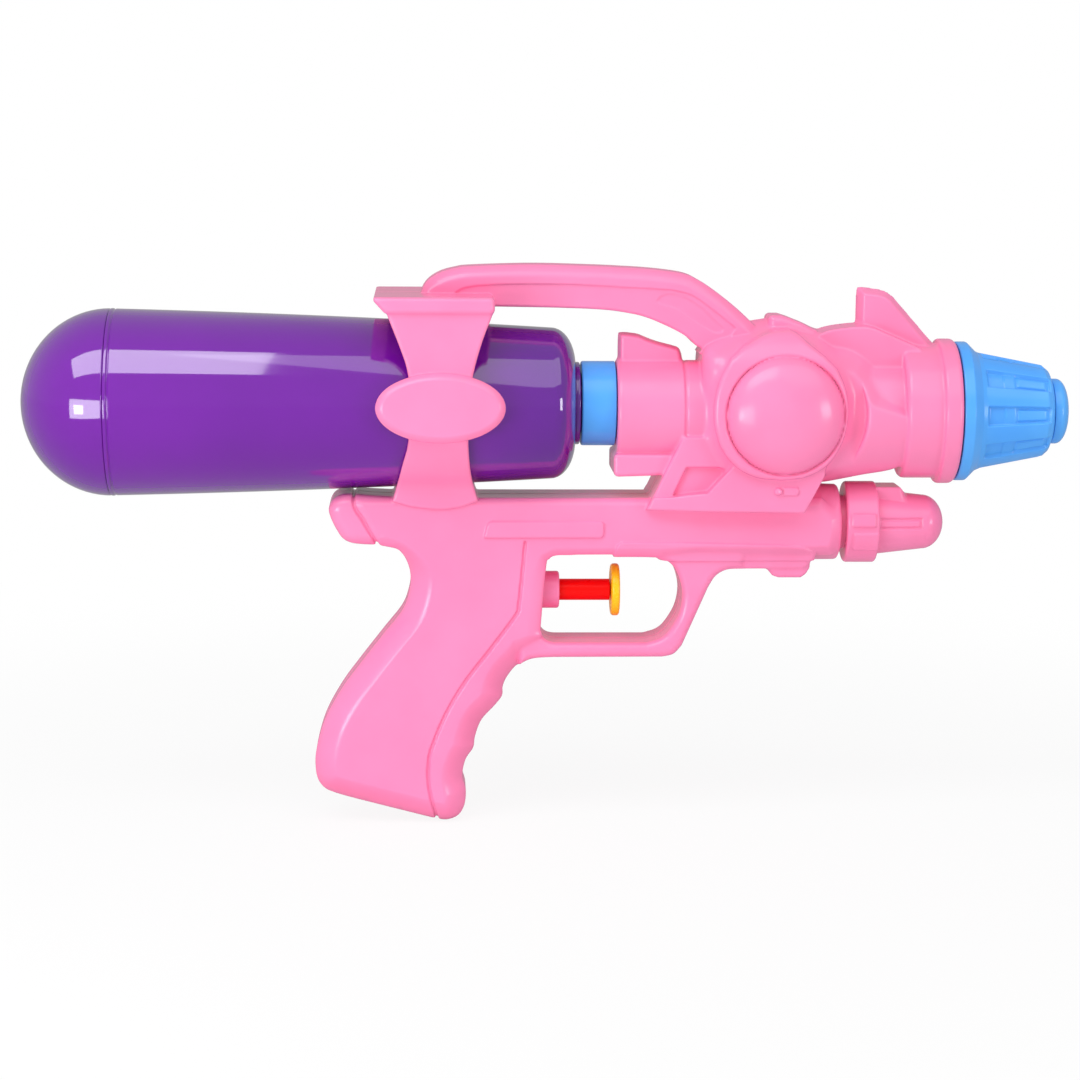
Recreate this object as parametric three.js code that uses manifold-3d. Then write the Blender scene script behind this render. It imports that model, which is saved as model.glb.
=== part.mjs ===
// A hand-pumped toy water squirter: two pink shell halves, a screw-on water tank,
// a ribbed nozzle and a small piston pump that the trigger disc works.
// Millimetres. X runs forwards to the nozzle, Z is up, and the halves meet at Y = 0.
import * as THREE from "three";
import { mergeVertices } from "three/addons/utils/BufferGeometryUtils.js";
import Module from "manifold-3d";

const wasm = await Module();
wasm.setup();

// Fits shared by all pieces
const clearance = 0.3;
const wall = 2;
const overrun = 1;
const roundSides = 28;
const barrelSides = 20;
const hollowSides = 14;
const innerSides = 14;
const smallSides = 8;
const wireSides = 4;
const hoseSides = 6;
const coilSteps = 6;
const insetStep = 0.5;
const outlineTolerance = 0.18;
const hollowTolerance = 0.4;
const insetSlack = 0.02;
const weldTolerance = 0.0001;

// Frame: the long bar under the tank
const frameBottom = 86;
const frameHeight = 18;
const frameHalfWidth = 13.4;
const frameFrontX = 86;
const frameRounding = 3;

// Grip, below the frame; its front wall is near the X datum
const gripLength = 73.3;
const gripHalfWidth = 13.4;
const gripRounding = 4.5;

// Rear knob, behind the frame
const knobReach = 68.6;

// Trigger guard and its finger opening
const guardLength = 74;
const guardHeight = 37.4;
const guardHalfWidth = 11.5;
const guardRounding = 2;
const guardBar = 4.7;
const openingLength = 44.7;
const openingHeight = 28.2;
const openingRearX = -2.1;

// Lower barrel and its front cap
const lowerBarrelRadius = 11.8;
const lowerBarrelInset = 30;
const lowerBarrelReach = 6.6;
const lowerAxisRise = 9.2;
const capGap = 1.9;
const capBandRadius = 12.9;
const capBandLength = 11.3;
const capConeRadius = 10.2;
const capTipRadius = 8.2;
const capConeLength = 15.6;
const capNoseLength = 4.6;
const capSpigotRadius = 8.6;
const capSpigotLength = 4;
const capBossHeight = 12;
const capBossWidth = 13;
const capBossLength = 8.4;
const capPadRise = 0.7;

// Water tank
const tankSeamRadius = 29.35;
const tankFrontRadius = 23.8;
const tankBelly = 0.65;
const tankTaperLength = 140.1;
const tankShoulderLength = 7.6;
const tankDomeLength = 25.9;
const tankWall = 1.6;
const tankLap = 4;
const neckRingRadius = 12.6;
const neckRingLength = 1.4;
const neckRadius = 9.5;
const neckLength = 9.6;
const neckBore = 7.3;

// Blue collar that the tank's neck screws into
const collarRearX = 10.3;
const collarRadius = 13.3;
const collarLength = 12.1;
const collarGrooveRadius = 10.9;
const collarFlangeRadius = 11.9;
const collarFlangeLength = 2.2;
const collarFloor = 1.6;
const washerThickness = 1.2;
const hoseRadius = 2.2;
const barbRadius = 1.2;
const barbBore = 0.7;
const barbLength = 7;

// Barrel: sleeve with its skirt and fin, behind the housing
const barrelDrop = 2.2;
const sleeveLength = 20.8;
const sleeveRadius = 16.4;
const sleeveNeckRadius = 14.8;
const skirtHalfWidth = 13;
const skirtLength = 10.6;
const skirtDrop = 19.6;
const sleeveFinSetback = 0.6;
const sleeveFinRise = 13.4;
const sleeveFinHeight = 11;
const sleeveFinHalfWidth = 4.4;

// Round housing with its side domes, and the cone and rings in front of it
const housingSetback = 14;
const housingRadius = 24.6;
const housingHalfWidth = 17;
const ringRadius = 21.9;
const ringHalfWidth = 22;
const domeRadius = 18.4;
const domeHalfWidth = 28.6;
const coneLength = 41.2;
const coneRearRadius = 22.6;
const coneFrontRadius = 17.9;
const ringOneRadius = 20.4;
const ringOneLength = 10;
const ringTwoRadius = 22.8;
const ringTwoLength = 6.4;
const saddleLength = 11.4;
const saddleHalfWidth = 8;
const saddleRise = 30;
const fairingSetback = 6;
const fairingRise = 9.4;
const fairingLength = 35.5;
const fairingHeight = 18.5;
const fairingHalfWidth = 8.5;
const finSetback = 15.9;
const finRise = 17.4;
const finLength = 24.3;
const finHeight = 22;
const finHalfWidth = 2.8;

// Bracket between frame and barrel, block and strip under the frame, panel on its side
const bracketSetback = 8.9;
const bracketSink = 2.6;
const bracketTopDrop = 6.8;
const bracketHalfWidth = 16.8;
const windowDepth = 1.4;
const underBlockSetback = 28.4;
const underBlockDrop = 7.5;
const underBlockLength = 26.8;
const underBlockHeight = 9.5;
const underBlockHalfWidth = 9;
const stripHeight = 4.6;
const stripRelief = 0.8;
const stripRearX = 22;
const panelX = -19.9;
const panelSill = 5.8;
const panelLength = 37.2;
const panelHeight = 5.2;
const panelRelief = 0.7;

// Strap round the tank, and the carry handle that starts on it
const strapX = -33.9;
const strapLength = 32.5;
const strapSink = 3.4;
const strapGap = 0.73;
const strapWall = 2.4;
const strapFlare = 0.8;
const strapFootHalfWidth = 14.2;
const lipStand = 6;
const lipHeight = 5;
const lipOverhang = 1.4;
const lipTopLength = 37.4;
const ovalHalfLength = 20;
const ovalHalfHeight = 10.8;
const ovalRelief = 2.8;
const ovalRise = 1.1;
const handleSetback = 5.3;
const handleFrontSetback = 6;
const handleFootRise = 19.4;
const handleCrest = 9.1;
const handleHalfWidth = 9.4;
const handleRounding = 3;

// Nozzle
const nozzleFlangeRadius = 22;
const nozzleFlangeLength = 3.8;
const nozzleChamferLength = 3.6;
const nozzleConeRearRadius = 18.3;
const nozzleConeFrontRadius = 14;
const nozzleConeLength = 21;
const nozzleNoseLength = 2;
const nozzleTipRadius = 10.3;
const nozzleTipLength = 5.4;
const nozzleTipSpigotRadius = 6;
const nozzleTipSpigotLength = 5;
const nozzleBore = 12.5;
const nozzleJournalRadius = 16;
const nozzleLipRadius = 18.2;
const nozzleLipLength = 2;
const nozzleRibs = 10;
const nozzleRibRise = 0.9;
const nozzleRibWidthDegrees = 20;
const jetRadius = 0.8;
const nozzleTubeRadius = 4;
const nozzleTubeLength = 14.2;
const sealThickness = 1.6;
const tubeFlangeRadius = 7;
const tubeFlangeLength = 1.6;

// Pump, worked by the trigger
const pumpAxisDrop = 12.7;
const pumpStroke = 15;
const pumpRadius = 7.6;
const pumpBore = 6.2;
const glandRadius = 5.9;
const glandRearX = -7;
const glandFrontX = 4;
const glandFlangeRadius = 7.6;
const glandFlangeLength = 2;
const rodRadius = 3.4;
const rodPegRadius = 1.7;
const rodSeatLength = 1.6;
const discGap = 1.4;
const discRadius = 8.3;
const discThickness = 2.7;
const discRounding = 1.1;
const pistonLength = 3.2;
const pistonGroove = 1.6;
const returnSpringWire = 0.7;
const returnSpringTurns = 7;
const chimneyRadius = 4.1;
const chimneyBore = 2.8;
const portRadius = 1.3;
const ballRadius = 2.2;
const valveLift = 0.8;
const valveSpringWire = 0.4;
const valveSpringTurns = 3;
const hoseCapFlange = 1.2;
const hoseCapSpigot = 1.6;
const hoseCapRadius = 2.4;
const hoseSpacing = 5;
const ductHalfWidth = 8;

// Case screws, driven in from the right side
const screwHeadRadius = 2.7;
const screwHeadHeight = 1.8;
const screwRadius = 1.3;
const screwTipY = -8;
const screwSeatY = 5;
const bossRadius = 3.7;

// Outlines as shares of their length and height, chosen by hand
const gripBackShares = [
  [0.409, 1], [0.416, 0.95], [0.415, 0.884], [0.385, 0.786], [0.304, 0.7], [0.205, 0.591],
  [0.119, 0.493], [0.045, 0.38], [0.006, 0.263], [0, 0.191], [0.014, 0.134], [0.052, 0.1],
];
const gripSoleShares = [[0.194, 0.0721], [0.502, 0.0035]];
const gripToeShares = [[0.545, 0], [0.575, 0], [0.61, 0.0186], [0.643, 0.0663]];
const gripFingerShares = [
  [0.648, 0.123], [0.634, 0.184], [0.659, 0.236], [0.683, 0.273], [0.688, 0.314], [0.711, 0.371],
  [0.768, 0.423], [0.802, 0.46], [0.806, 0.495], [0.85, 0.555], [0.898, 0.591], [0.948, 0.61],
];
const knobShares = [
  [0.35, -0.194], [0.303, 0.011], [0.216, 0.144], [0.111, 0.172], [0.051, 0.278], [0.006, 0.622],
  [0, 0.867], [0.023, 0.99], [0.082, 1.045], [0.133, 1],
];
const handleTopShares = [
  [0, 0.562], [0.006, 0.674], [0.05, 0.843], [0.096, 0.933], [0.141, 0.974], [0.321, 1],
  [0.502, 0.985], [0.592, 0.97], [0.683, 0.948], [0.774, 0.884], [0.819, 0.809], [0.859, 0.712],
  [0.905, 0.577], [0.948, 0.427], [1, 0.225],
];
const handleUnderShares = [
  [0.822, 0], [0.791, 0.195], [0.761, 0.27], [0.716, 0.363], [0.671, 0.431], [0.626, 0.468],
  [0.538, 0.509], [0.404, 0.524], [0.212, 0.524],
];
const guardCornerShares = [
  [0.612, 0.01], [0.666, 0.048], [0.699, 0.134], [0.811, 0.679], [0.841, 0.749], [0.892, 0.773],
];
const openingFrontShares = [
  [0.745, 1], [0.85, 0.968], [0.928, 0.872], [0.984, 0.702], [1, 0.525], [0.978, 0.323],
  [0.911, 0.138], [0.843, 0.046], [0.752, 0],
];
const openingRearShares = [[0.029, 0], [0, 0.053], [0, 0.188], [0.036, 0.95], [0.047, 1]];
const underBlockShares = [
  [0, 1], [0, 0.263], [0.437, 0.263], [0.567, 0], [0.851, 0], [0.944, 0.337], [1, 0.632], [1, 1],
];
const bracketShares = [[0, 0], [0.203, 1], [0.328, 1], [0.5, 0.629], [1, 0.487], [0.908, 0]];
const bracketWindowShares = [[0.228, 0.571], [0.404, 0.571], [0.339, 0.205], [0.163, 0.179]];
const sleeveFinShares = [[0, 0], [0, 1], [0.302, 0.973], [0.916, 0.627], [1, 0.455], [1, 0]];
const frontFinShares = [
  [0, 0], [0, 0.968], [0.037, 1], [0.313, 0.955], [0.461, 0.882], [1, 0.209], [1, 0],
];
const fairingShares = [
  [0, 0], [0.056, 0.703], [0.192, 0.876], [0.366, 0.973], [0.586, 1], [1, 0.568], [1, 0],
];
const strapRearShares = [
  [0, 1], [0.117, 0.849], [0.188, 0.722], [0.209, 0.595], [0.2, 0.373], [0.169, 0.23],
  [0.114, 0.141], [0.052, 0.032], [0.052, 0],
];
const strapFrontShares = [
  [0.862, 0], [0.855, 0.037], [0.815, 0.135], [0.778, 0.23], [0.772, 0.373], [0.797, 0.595],
  [0.812, 0.722], [0.871, 0.849], [1, 1],
];

// Screw places and hose bends, as shares too
const gripScrewShares = [[0.3, 0.16], [0.47, 0.55]];
const knobScrewShares = [[0.112, 0.62]];
const handleScrewShares = [[0.24, 0.798], [0.86, 0.42]];
const suctionBendShares = [
  [0, 0.05], [0.38, 0.3], [0.42, 0.65], [0.16, 0.94], [-0.2, 1], [-0.5, 1],
];
const deliveryBendShares = [[-0.6, 0], [-0.3, 0.1], [-0.1, 0.5], [0.1, 0.9]];

// Solids from three.js shapes

function solidOf(geometry) {
  const bare = geometry.index ? geometry.toNonIndexed() : geometry.clone();
  bare.deleteAttribute("normal");
  bare.deleteAttribute("uv");
  const merged = mergeVertices(bare, weldTolerance);
  const mesh = new wasm.Mesh({
    numProp: 3,
    vertProperties: merged.attributes.position.array,
    triVerts: new Uint32Array(merged.index.array),
  });
  return new wasm.Manifold(mesh);
}

function geometryOf(solid) {
  const mesh = solid.getMesh();
  const geometry = new THREE.BufferGeometry();
  geometry.setAttribute("position", new THREE.BufferAttribute(mesh.vertProperties, mesh.numProp));
  geometry.setIndex(new THREE.BufferAttribute(mesh.triVerts, 1));
  geometry.computeVertexNormals();
  return geometry;
}

const union = (solids) => solids.reduce((sum, solid) => sum.add(solid));
const cutAll = (solid, tools) => tools.reduce((left, tool) => left.subtract(tool), solid);

function placeShares(shares, box) {
  return shares.map(([across, up]) => [box.x + across * box.length, box.z + up * box.height]);
}

function smooth(points, perPoint = 3) {
  const curve = new THREE.SplineCurve(points.map(([x, z]) => new THREE.Vector2(x, z)));
  const run = curve.getPoints((points.length - 1) * perPoint).map((point) => [point.x, point.y]);
  return thinned(run, outlineTolerance);
}

// The distance from a point to the nearest side of a closed outline.
function distanceTo(points, [x, z]) {
  let least = Infinity;
  points.forEach(([ax, az], i) => {
    const [bx, bz] = points[(i + 1) % points.length];
    const along = (x - ax) * (bx - ax) + (z - az) * (bz - az);
    const lengthSquared = (bx - ax) ** 2 + (bz - az) ** 2 || 1;
    const share = THREE.MathUtils.clamp(along / lengthSquared, 0, 1);
    least = Math.min(least, Math.hypot(ax + share * (bx - ax) - x, az + share * (bz - az) - z));
  });
  return least;
}

// Leaves out the points of an open run that stand off its chord by less than the tolerance.
function thinned(run, tolerance) {
  const [ax, az] = run[0];
  const [bx, bz] = run[run.length - 1];
  const chord = Math.hypot(bx - ax, bz - az) || 1;
  let furthest = 0;
  let at = 0;
  run.forEach(([x, z], i) => {
    const off = Math.abs((x - ax) * (bz - az) - (z - az) * (bx - ax)) / chord;
    if (off > furthest) {
      furthest = off;
      at = i;
    }
  });
  if (furthest < tolerance) return [run[0], run[run.length - 1]];
  return [...thinned(run.slice(0, at + 1), tolerance).slice(0, -1), ...thinned(run.slice(at), tolerance)];
}

// One side of an outline, moved inwards, with the stretch that keeps its distance to all sides.
function movedSide(points, i, inset, turn) {
  const [ax, az] = points[i];
  const [bx, bz] = points[(i + 1) % points.length];
  const length = Math.hypot(bx - ax, bz - az);
  const along = [(bx - ax) / length, (bz - az) / length];
  const at = (run) => [
    ax + run * along[0] + turn * inset * along[1],
    az + run * along[1] - turn * inset * along[0],
  ];
  const steps = Math.ceil(length / insetStep);
  const runs = Array.from({ length: steps }, (_, step) => (length * (step + 1 / 2)) / steps);
  const kept = runs.filter((run) => distanceTo(points, at(run)) > inset - insetSlack);
  return { along, kept: kept.length > 0, start: at(kept[0]), end: at(kept[kept.length - 1]) };
}

// Where the lines of two sides cross, or null where they run nearly alike.
function crossing(first, second) {
  const [ux, uz] = first.along;
  const [vx, vz] = second.along;
  const across = ux * vz - uz * vx;
  if (Math.abs(across) < insetSlack) return null;
  const run = ((second.start[0] - first.end[0]) * vz - (second.start[1] - first.end[1]) * vx) / across;
  return [first.end[0] + run * ux, first.end[1] + run * uz];
}

// A closed outline moved inwards: sides that the inset swallows are left out, and the rest
// meet where their lines cross, or are joined end to end where that lies too far off.
function insetOutline(points, inset) {
  const ring = points.map(([x, z]) => new THREE.Vector2(x, z));
  const turn = THREE.ShapeUtils.isClockWise(ring) ? 1 : -1;
  const sides = points.map((_, i) => movedSide(points, i, inset, turn)).filter((side) => side.kept);
  return sides.flatMap((side, i) => {
    const before = sides[(i + sides.length - 1) % sides.length];
    const corner = crossing(before, side);
    const reach = inset + 2 * insetStep;
    const gap = ([x, z], [u, w]) => Math.hypot(x - u, z - w);
    const near = corner && gap(corner, side.start) < reach && gap(corner, before.end) < reach;
    return near ? [corner] : [before.end, side.start];
  });
}

function thinnedRing(ring, tolerance) {
  const middle = Math.floor(ring.length / 2);
  const first = thinned(ring.slice(0, middle + 1), tolerance);
  const second = thinned([...ring.slice(middle), ring[0]], tolerance);
  return [...first.slice(0, -1), ...second.slice(0, -1)];
}

// An outline in the XZ plane, thickened along Y, with rounded edges and an optional inset.
function slab(points, halfWidth, rounding = 0, inset = 0, steps = 2) {
  const drawn = rounding + inset > 0 ? insetOutline(points, rounding + inset) : points;
  const outline = inset > 0 ? thinnedRing(drawn, hollowTolerance) : drawn;
  const shape = new THREE.Shape(outline.map(([x, z]) => new THREE.Vector2(x, z)));
  const depth = 2 * (halfWidth - rounding);
  const geometry = new THREE.ExtrudeGeometry(shape, {
    depth,
    steps: 1,
    bevelEnabled: rounding > 0,
    bevelThickness: rounding,
    bevelSize: rounding,
    bevelSegments: steps,
  });
  geometry.translate(0, 0, -depth / 2);
  geometry.rotateX(Math.PI / 2);
  return solidOf(geometry);
}

// A profile of [radius, x] points turned about an axis along X.
function turned(profile, axisZ, sides = roundSides) {
  const points = profile.map(([radius, x]) => new THREE.Vector2(radius, x));
  const geometry = new THREE.LatheGeometry(points, sides);
  geometry.rotateZ(-Math.PI / 2);
  geometry.translate(0, 0, axisZ);
  return solidOf(geometry);
}

// A profile of [radius, y] points turned about an axis along Y.
function turnedAcross(profile, x, z, sides = roundSides) {
  const points = profile.map(([radius, y]) => new THREE.Vector2(radius, y));
  const geometry = new THREE.LatheGeometry(points, sides);
  geometry.translate(x, 0, z);
  return solidOf(geometry);
}

// A profile of [radius, z] points turned about an upright axis.
function turnedUp(profile, x, sides = smallSides) {
  const points = profile.map(([radius, z]) => new THREE.Vector2(radius, z));
  const geometry = new THREE.LatheGeometry(points, sides);
  geometry.rotateX(Math.PI / 2);
  geometry.translate(x, 0, 0);
  return solidOf(geometry);
}

const rodAlong = (radius, x0, x1, axisZ, sides) =>
  turned([[0, x0], [radius, x0], [radius, x1], [0, x1]], axisZ, sides);

// A flat ring with a bore, turned about an axis along X.
const band = (inner, outer, x0, x1, axisZ) =>
  turned([[inner, x0], [outer, x0], [outer, x1], [inner, x1], [inner, x0]], axisZ, innerSides);

const rodAcross = (radius, y0, y1, x, z, sides = smallSides) =>
  turnedAcross([[0, y0], [radius, y0], [radius, y1], [0, y1]], x, z, sides);

function block(x0, x1, y0, y1, z0, z1) {
  const geometry = new THREE.BoxGeometry(x1 - x0, y1 - y0, z1 - z0);
  geometry.translate((x0 + x1) / 2, (y0 + y1) / 2, (z0 + z1) / 2);
  return solidOf(geometry);
}

// Points of a quarter ellipse from [radius a, x a] to [radius b, x b], bulging outwards.
function quarter(radiusA, xA, radiusB, xB, steps, startFlat) {
  const points = [];
  for (let i = 0; i <= steps; i += 1) {
    const turn = (Math.PI / 2) * (i / steps);
    const along = startFlat ? Math.sin(turn) : 1 - Math.cos(turn);
    const across = startFlat ? 1 - Math.cos(turn) : Math.sin(turn);
    points.push([radiusA + (radiusB - radiusA) * across, xA + (xB - xA) * along]);
  }
  return points;
}

// A wire wound round an axis, as one tube with flat ends.
function coil(radius, wire, turns, length) {
  class Helix extends THREE.Curve {
    getPoint(t, target = new THREE.Vector3()) {
      const turn = 2 * Math.PI * turns * t;
      return target.set(radius * Math.cos(turn), radius * Math.sin(turn), length * t);
    }
  }
  const section = new THREE.Shape();
  section.absarc(0, 0, wire / 2, 0, 2 * Math.PI);
  return new THREE.ExtrudeGeometry(section, {
    extrudePath: new Helix(),
    steps: turns * coilSteps,
    curveSegments: wireSides / 2,
  });
}

// A hose with its bore, along a curve.
function hose(points) {
  const curve = new THREE.CatmullRomCurve3(points.map((point) => new THREE.Vector3(...point)));
  const section = new THREE.Shape();
  section.absarc(0, 0, hoseRadius, 0, 2 * Math.PI);
  const bore = new THREE.Path();
  bore.absarc(0, 0, barbRadius + clearance, 0, 2 * Math.PI, true);
  section.holes.push(bore);
  const steps = Math.round(curve.getLength() / (4 * hoseRadius));
  return new THREE.ExtrudeGeometry(section, { extrudePath: curve, steps, curveSegments: hoseSides / 2 });
}

// Places worked out from the sizes above

const boxAt = (x, z, length, height) => ({ x, z, length, height });

const frameTop = frameBottom + frameHeight;
const lowerAxisZ = frameBottom + lowerAxisRise;
const pumpAxisZ = frameBottom - pumpAxisDrop;
const housingX = frameFrontX - housingSetback;

const tankSeamX = collarRearX - neckRingLength - clearance - tankShoulderLength - tankTaperLength;
const tankShoulderX = tankSeamX + tankTaperLength;
const strapShare = (strapX - tankSeamX) / tankTaperLength;
const strapRadius = tankRadiusAt(strapShare) + strapGap + strapWall;
const strapHalfWidth = strapRadius + strapFlare;
const lipHalfWidth = strapHalfWidth + lipOverhang;
const ovalHalfWidth = strapHalfWidth + ovalRelief;
const tankAxisZ = frameTop + strapRadius;
const barrelAxisZ = tankAxisZ - barrelDrop;
const lipTopZ = tankAxisZ + strapRadius + lipStand;
const lipBottomZ = lipTopZ - lipHeight;
const neckRearX = tankShoulderX + tankShoulderLength;
const neckFrontX = neckRearX + neckRingLength + neckLength;
const sleeveRearX = collarRearX + collarLength - wall / 2;
const sleeveNeckX = sleeveRearX + sleeveLength;
const collarFrontX = sleeveRearX + wall + clearance + collarFlangeLength;
const barrelRearX = housingX + wall;
const ringOneX = housingX + coneLength;
const ringTwoX = ringOneX + ringOneLength - overrun;
const barrelFrontX = ringTwoX + ringTwoLength;
const nozzleRearX = barrelFrontX + clearance;
const nozzleConeX = nozzleRearX + nozzleFlangeLength + nozzleChamferLength;
const nozzleFrontX = nozzleConeX + nozzleConeLength + nozzleNoseLength;
const nozzleBoreX = nozzleFrontX - nozzleTipSpigotLength - clearance;
const nozzleLipX = barrelFrontX - wall - clearance - nozzleLipLength;
const tubeFlangeX = ringOneX - wall + clearance;
const nozzleTubeRearX = tubeFlangeX - nozzleTubeLength;
const lowerBarrelRearX = frameFrontX - lowerBarrelInset;
const lowerBarrelFrontX = frameFrontX + lowerBarrelReach;
const capRearX = lowerBarrelFrontX + capGap;

const gripBox = boxAt(-gripLength, 0, gripLength, frameBottom);
const knobBox = boxAt(-knobReach, frameBottom, knobReach, frameHeight);
const openingBox = boxAt(openingRearX, frameBottom - openingHeight, openingLength, openingHeight);
const guardBox = boxAt(openingRearX - wall - guardBar, openingBox.z - guardBar, guardLength, guardHeight);
const strapRearX = strapX - strapLength / 2;
const strapZ = frameTop - strapSink;
const strapBox = boxAt(strapRearX, strapZ, strapLength, lipBottomZ + overrun - strapZ);
const handleX = strapX - handleSetback;
const handleLength = housingX - handleFrontSetback - handleX;
const handleZ = barrelAxisZ + handleFootRise;
const handleBox = boxAt(handleX, handleZ, handleLength, lipTopZ + handleCrest - handleZ);
const bracketX = sleeveRearX + bracketSetback;
const bracketLength = frameFrontX - clearance - bracketX;
const bracketZ = frameTop - bracketSink;
const bracketBox = boxAt(bracketX, bracketZ, bracketLength, barrelAxisZ - bracketTopDrop - bracketZ);
const sleeveFinX = sleeveRearX + sleeveFinSetback;
const sleeveFinLength = sleeveNeckX - sleeveFinX;
const sleeveFinBox = boxAt(sleeveFinX, barrelAxisZ + sleeveFinRise, sleeveFinLength, sleeveFinHeight);
const fairingX = housingX + fairingSetback;
const fairingBox = boxAt(fairingX, barrelAxisZ + fairingRise, fairingLength, fairingHeight);
const finBox = boxAt(ringOneX - finSetback, barrelAxisZ + finRise, finLength, finHeight);
const underBlockX = frameFrontX - underBlockSetback;
const underBlockBox = boxAt(underBlockX, frameBottom - underBlockDrop, underBlockLength, underBlockHeight);
const panelBox = boxAt(panelX, frameBottom + panelSill, panelLength, panelHeight);

const discRearX = glandFrontX + pumpStroke + discGap;
const rodFrontX = discRearX + rodSeatLength;
const pistonFrontX = glandRearX - clearance - overrun;
const pistonRearX = pistonFrontX - pistonLength;
const pistonLand = (pistonLength - pistonGroove) / 2;
const springRoom = 2 * returnSpringTurns * returnSpringWire;
const pumpRearX = pistonRearX - overrun - pumpStroke - springRoom - wall;
const pumpFrontX = glandRearX - clearance;
const inletX = pumpRearX + chimneyRadius + clearance;
const outletX = inletX + 2 * chimneyRadius + 2 * clearance;
const rearRibX = outletX + chimneyRadius + clearance;
const frontRibX = glandRearX - 2 * wall;
const portTopZ = pumpAxisZ + pumpRadius;
const valveSpringLength = valveLift + (valveSpringTurns + 1) * valveSpringWire;
const valveHeight = 2 * ballRadius + 2 * clearance + valveSpringLength;
const hoseCapPlugZ = portTopZ + valveHeight;
const chimneyTopZ = hoseCapPlugZ + hoseCapSpigot;
const inletBallZ = hoseCapPlugZ - clearance - ballRadius;
const outletBallZ = portTopZ + clearance + ballRadius;
const deliveryZ = chimneyTopZ + clearance + hoseCapFlange + hoseRadius + clearance;
const suctionZ = deliveryZ + hoseSpacing;
const pilotRadius = screwRadius + clearance;
const counterboreRadius = screwHeadRadius + clearance;

// Tank radius from the seam (0) to the shoulder (1): a straight taper with a slight belly.
function tankRadiusAt(share) {
  const taper = (tankSeamRadius - tankFrontRadius) * share;
  return tankSeamRadius - taper + 4 * tankBelly * share * (1 - share);
}

function tankTaper(offset) {
  const points = [];
  const steps = 4;
  for (let i = 0; i <= steps; i += 1) {
    const share = i / steps;
    points.push([tankRadiusAt(share) + offset, tankSeamX + share * tankTaperLength]);
  }
  return points;
}

// Outlines

function gripOutline() {
  const grip = (shares) => placeShares(shares, gripBox);
  return [
    ...smooth(grip(gripBackShares)),
    ...grip(gripSoleShares),
    ...grip(gripToeShares),
    ...smooth(grip(gripFingerShares)),
    [openingRearX + wall, openingBox.z - guardBar],
    [openingRearX + wall, frameBottom + overrun],
    [gripBox.x + gripLength * gripBackShares[0][0], frameBottom + overrun],
  ];
}

function knobOutline() {
  const knob = placeShares(knobShares, knobBox);
  return [
    ...smooth(knob),
    [knob[0][0], frameTop],
    [knob[0][0] + wall, knob[0][1]],
  ];
}

function frameOutline() {
  const rearX = knobBox.x + knobReach * knobShares[0][0] - wall;
  return [
    [rearX, frameTop],
    [rearX, frameBottom],
    [frameFrontX, frameBottom],
    [frameFrontX, frameTop],
  ];
}

function handleOutline() {
  return [
    ...smooth(placeShares(handleTopShares, handleBox)),
    ...smooth(placeShares(handleUnderShares, handleBox)),
    [handleBox.x, lipBottomZ + overrun],
  ];
}

function guardOutline() {
  const corner = placeShares(guardCornerShares, guardBox);
  const top = frameBottom + overrun;
  return [
    [guardBox.x, top],
    [guardBox.x, guardBox.z],
    ...smooth(corner),
    [guardBox.x + guardBox.length, corner[corner.length - 1][1]],
    [guardBox.x + guardBox.length, top],
  ];
}

function openingOutline() {
  return [
    ...smooth(placeShares(openingFrontShares, openingBox)),
    ...placeShares(openingRearShares, openingBox),
  ];
}

// Forms of the shell: each gives its outside, or its inside when inset by a wall

const roundedSlab = (points, halfWidth, rounding, inset) =>
  inset > 0
    ? slab(points, halfWidth - inset, Math.max(rounding - inset, clearance), inset, 1)
    : slab(points, halfWidth, rounding, 0, 2);

const sidesFor = (inset) => (inset > 0 ? hollowSides : roundSides);

function gripForm(inset) {
  return union([
    roundedSlab(gripOutline(), gripHalfWidth, gripRounding, inset),
    roundedSlab(knobOutline(), gripHalfWidth, gripRounding, inset),
    roundedSlab(frameOutline(), frameHalfWidth, frameRounding, inset),
  ]);
}

function lowerBarrelForm(inset) {
  const x0 = lowerBarrelRearX + inset;
  const x1 = lowerBarrelFrontX - inset;
  return rodAlong(lowerBarrelRadius - inset, x0, x1, lowerAxisZ, sidesFor(inset));
}

function sleeveForm(inset) {
  return turned(
    [
      [0, sleeveRearX + inset],
      [sleeveRadius - inset, sleeveRearX + inset],
      [sleeveRadius - inset, sleeveNeckX - inset],
      [sleeveNeckRadius - inset, sleeveNeckX - inset],
      [sleeveNeckRadius - inset, housingX],
      [0, housingX],
    ],
    barrelAxisZ,
    sidesFor(inset),
  );
}

function housingForm(inset) {
  const drum = housingHalfWidth - inset;
  const ring = ringHalfWidth - inset;
  const dome = [[domeRadius - inset, ring], ...domeProfile(inset)];
  const half = [[housingRadius - inset, drum], [ringRadius - inset, ring], ...dome];
  const mirrored = half.map(([radius, y]) => [radius, -y]).reverse();
  return turnedAcross([...mirrored, ...half], housingX, barrelAxisZ, sidesFor(inset));
}

function domeProfile(inset) {
  const steps = inset > 0 ? 2 : 4;
  const points = quarter(domeRadius - inset, ringHalfWidth - inset, 0, domeHalfWidth - inset, steps, true);
  return points.slice(1);
}

function coneForm(inset) {
  return turned(
    [
      [0, barrelRearX],
      [coneRearRadius - inset, barrelRearX],
      [coneRearRadius - inset, housingX + coneRearRadius],
      [coneFrontRadius - inset, ringOneX],
      [coneFrontRadius - inset, ringOneX + inset],
      [ringOneRadius - inset, ringOneX + inset],
      [ringOneRadius - inset, ringTwoX + inset],
      [ringTwoRadius - inset, ringTwoX + inset],
      [ringTwoRadius - inset, barrelFrontX - inset],
      [0, barrelFrontX - inset],
    ],
    barrelAxisZ,
    sidesFor(inset),
  );
}

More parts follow.
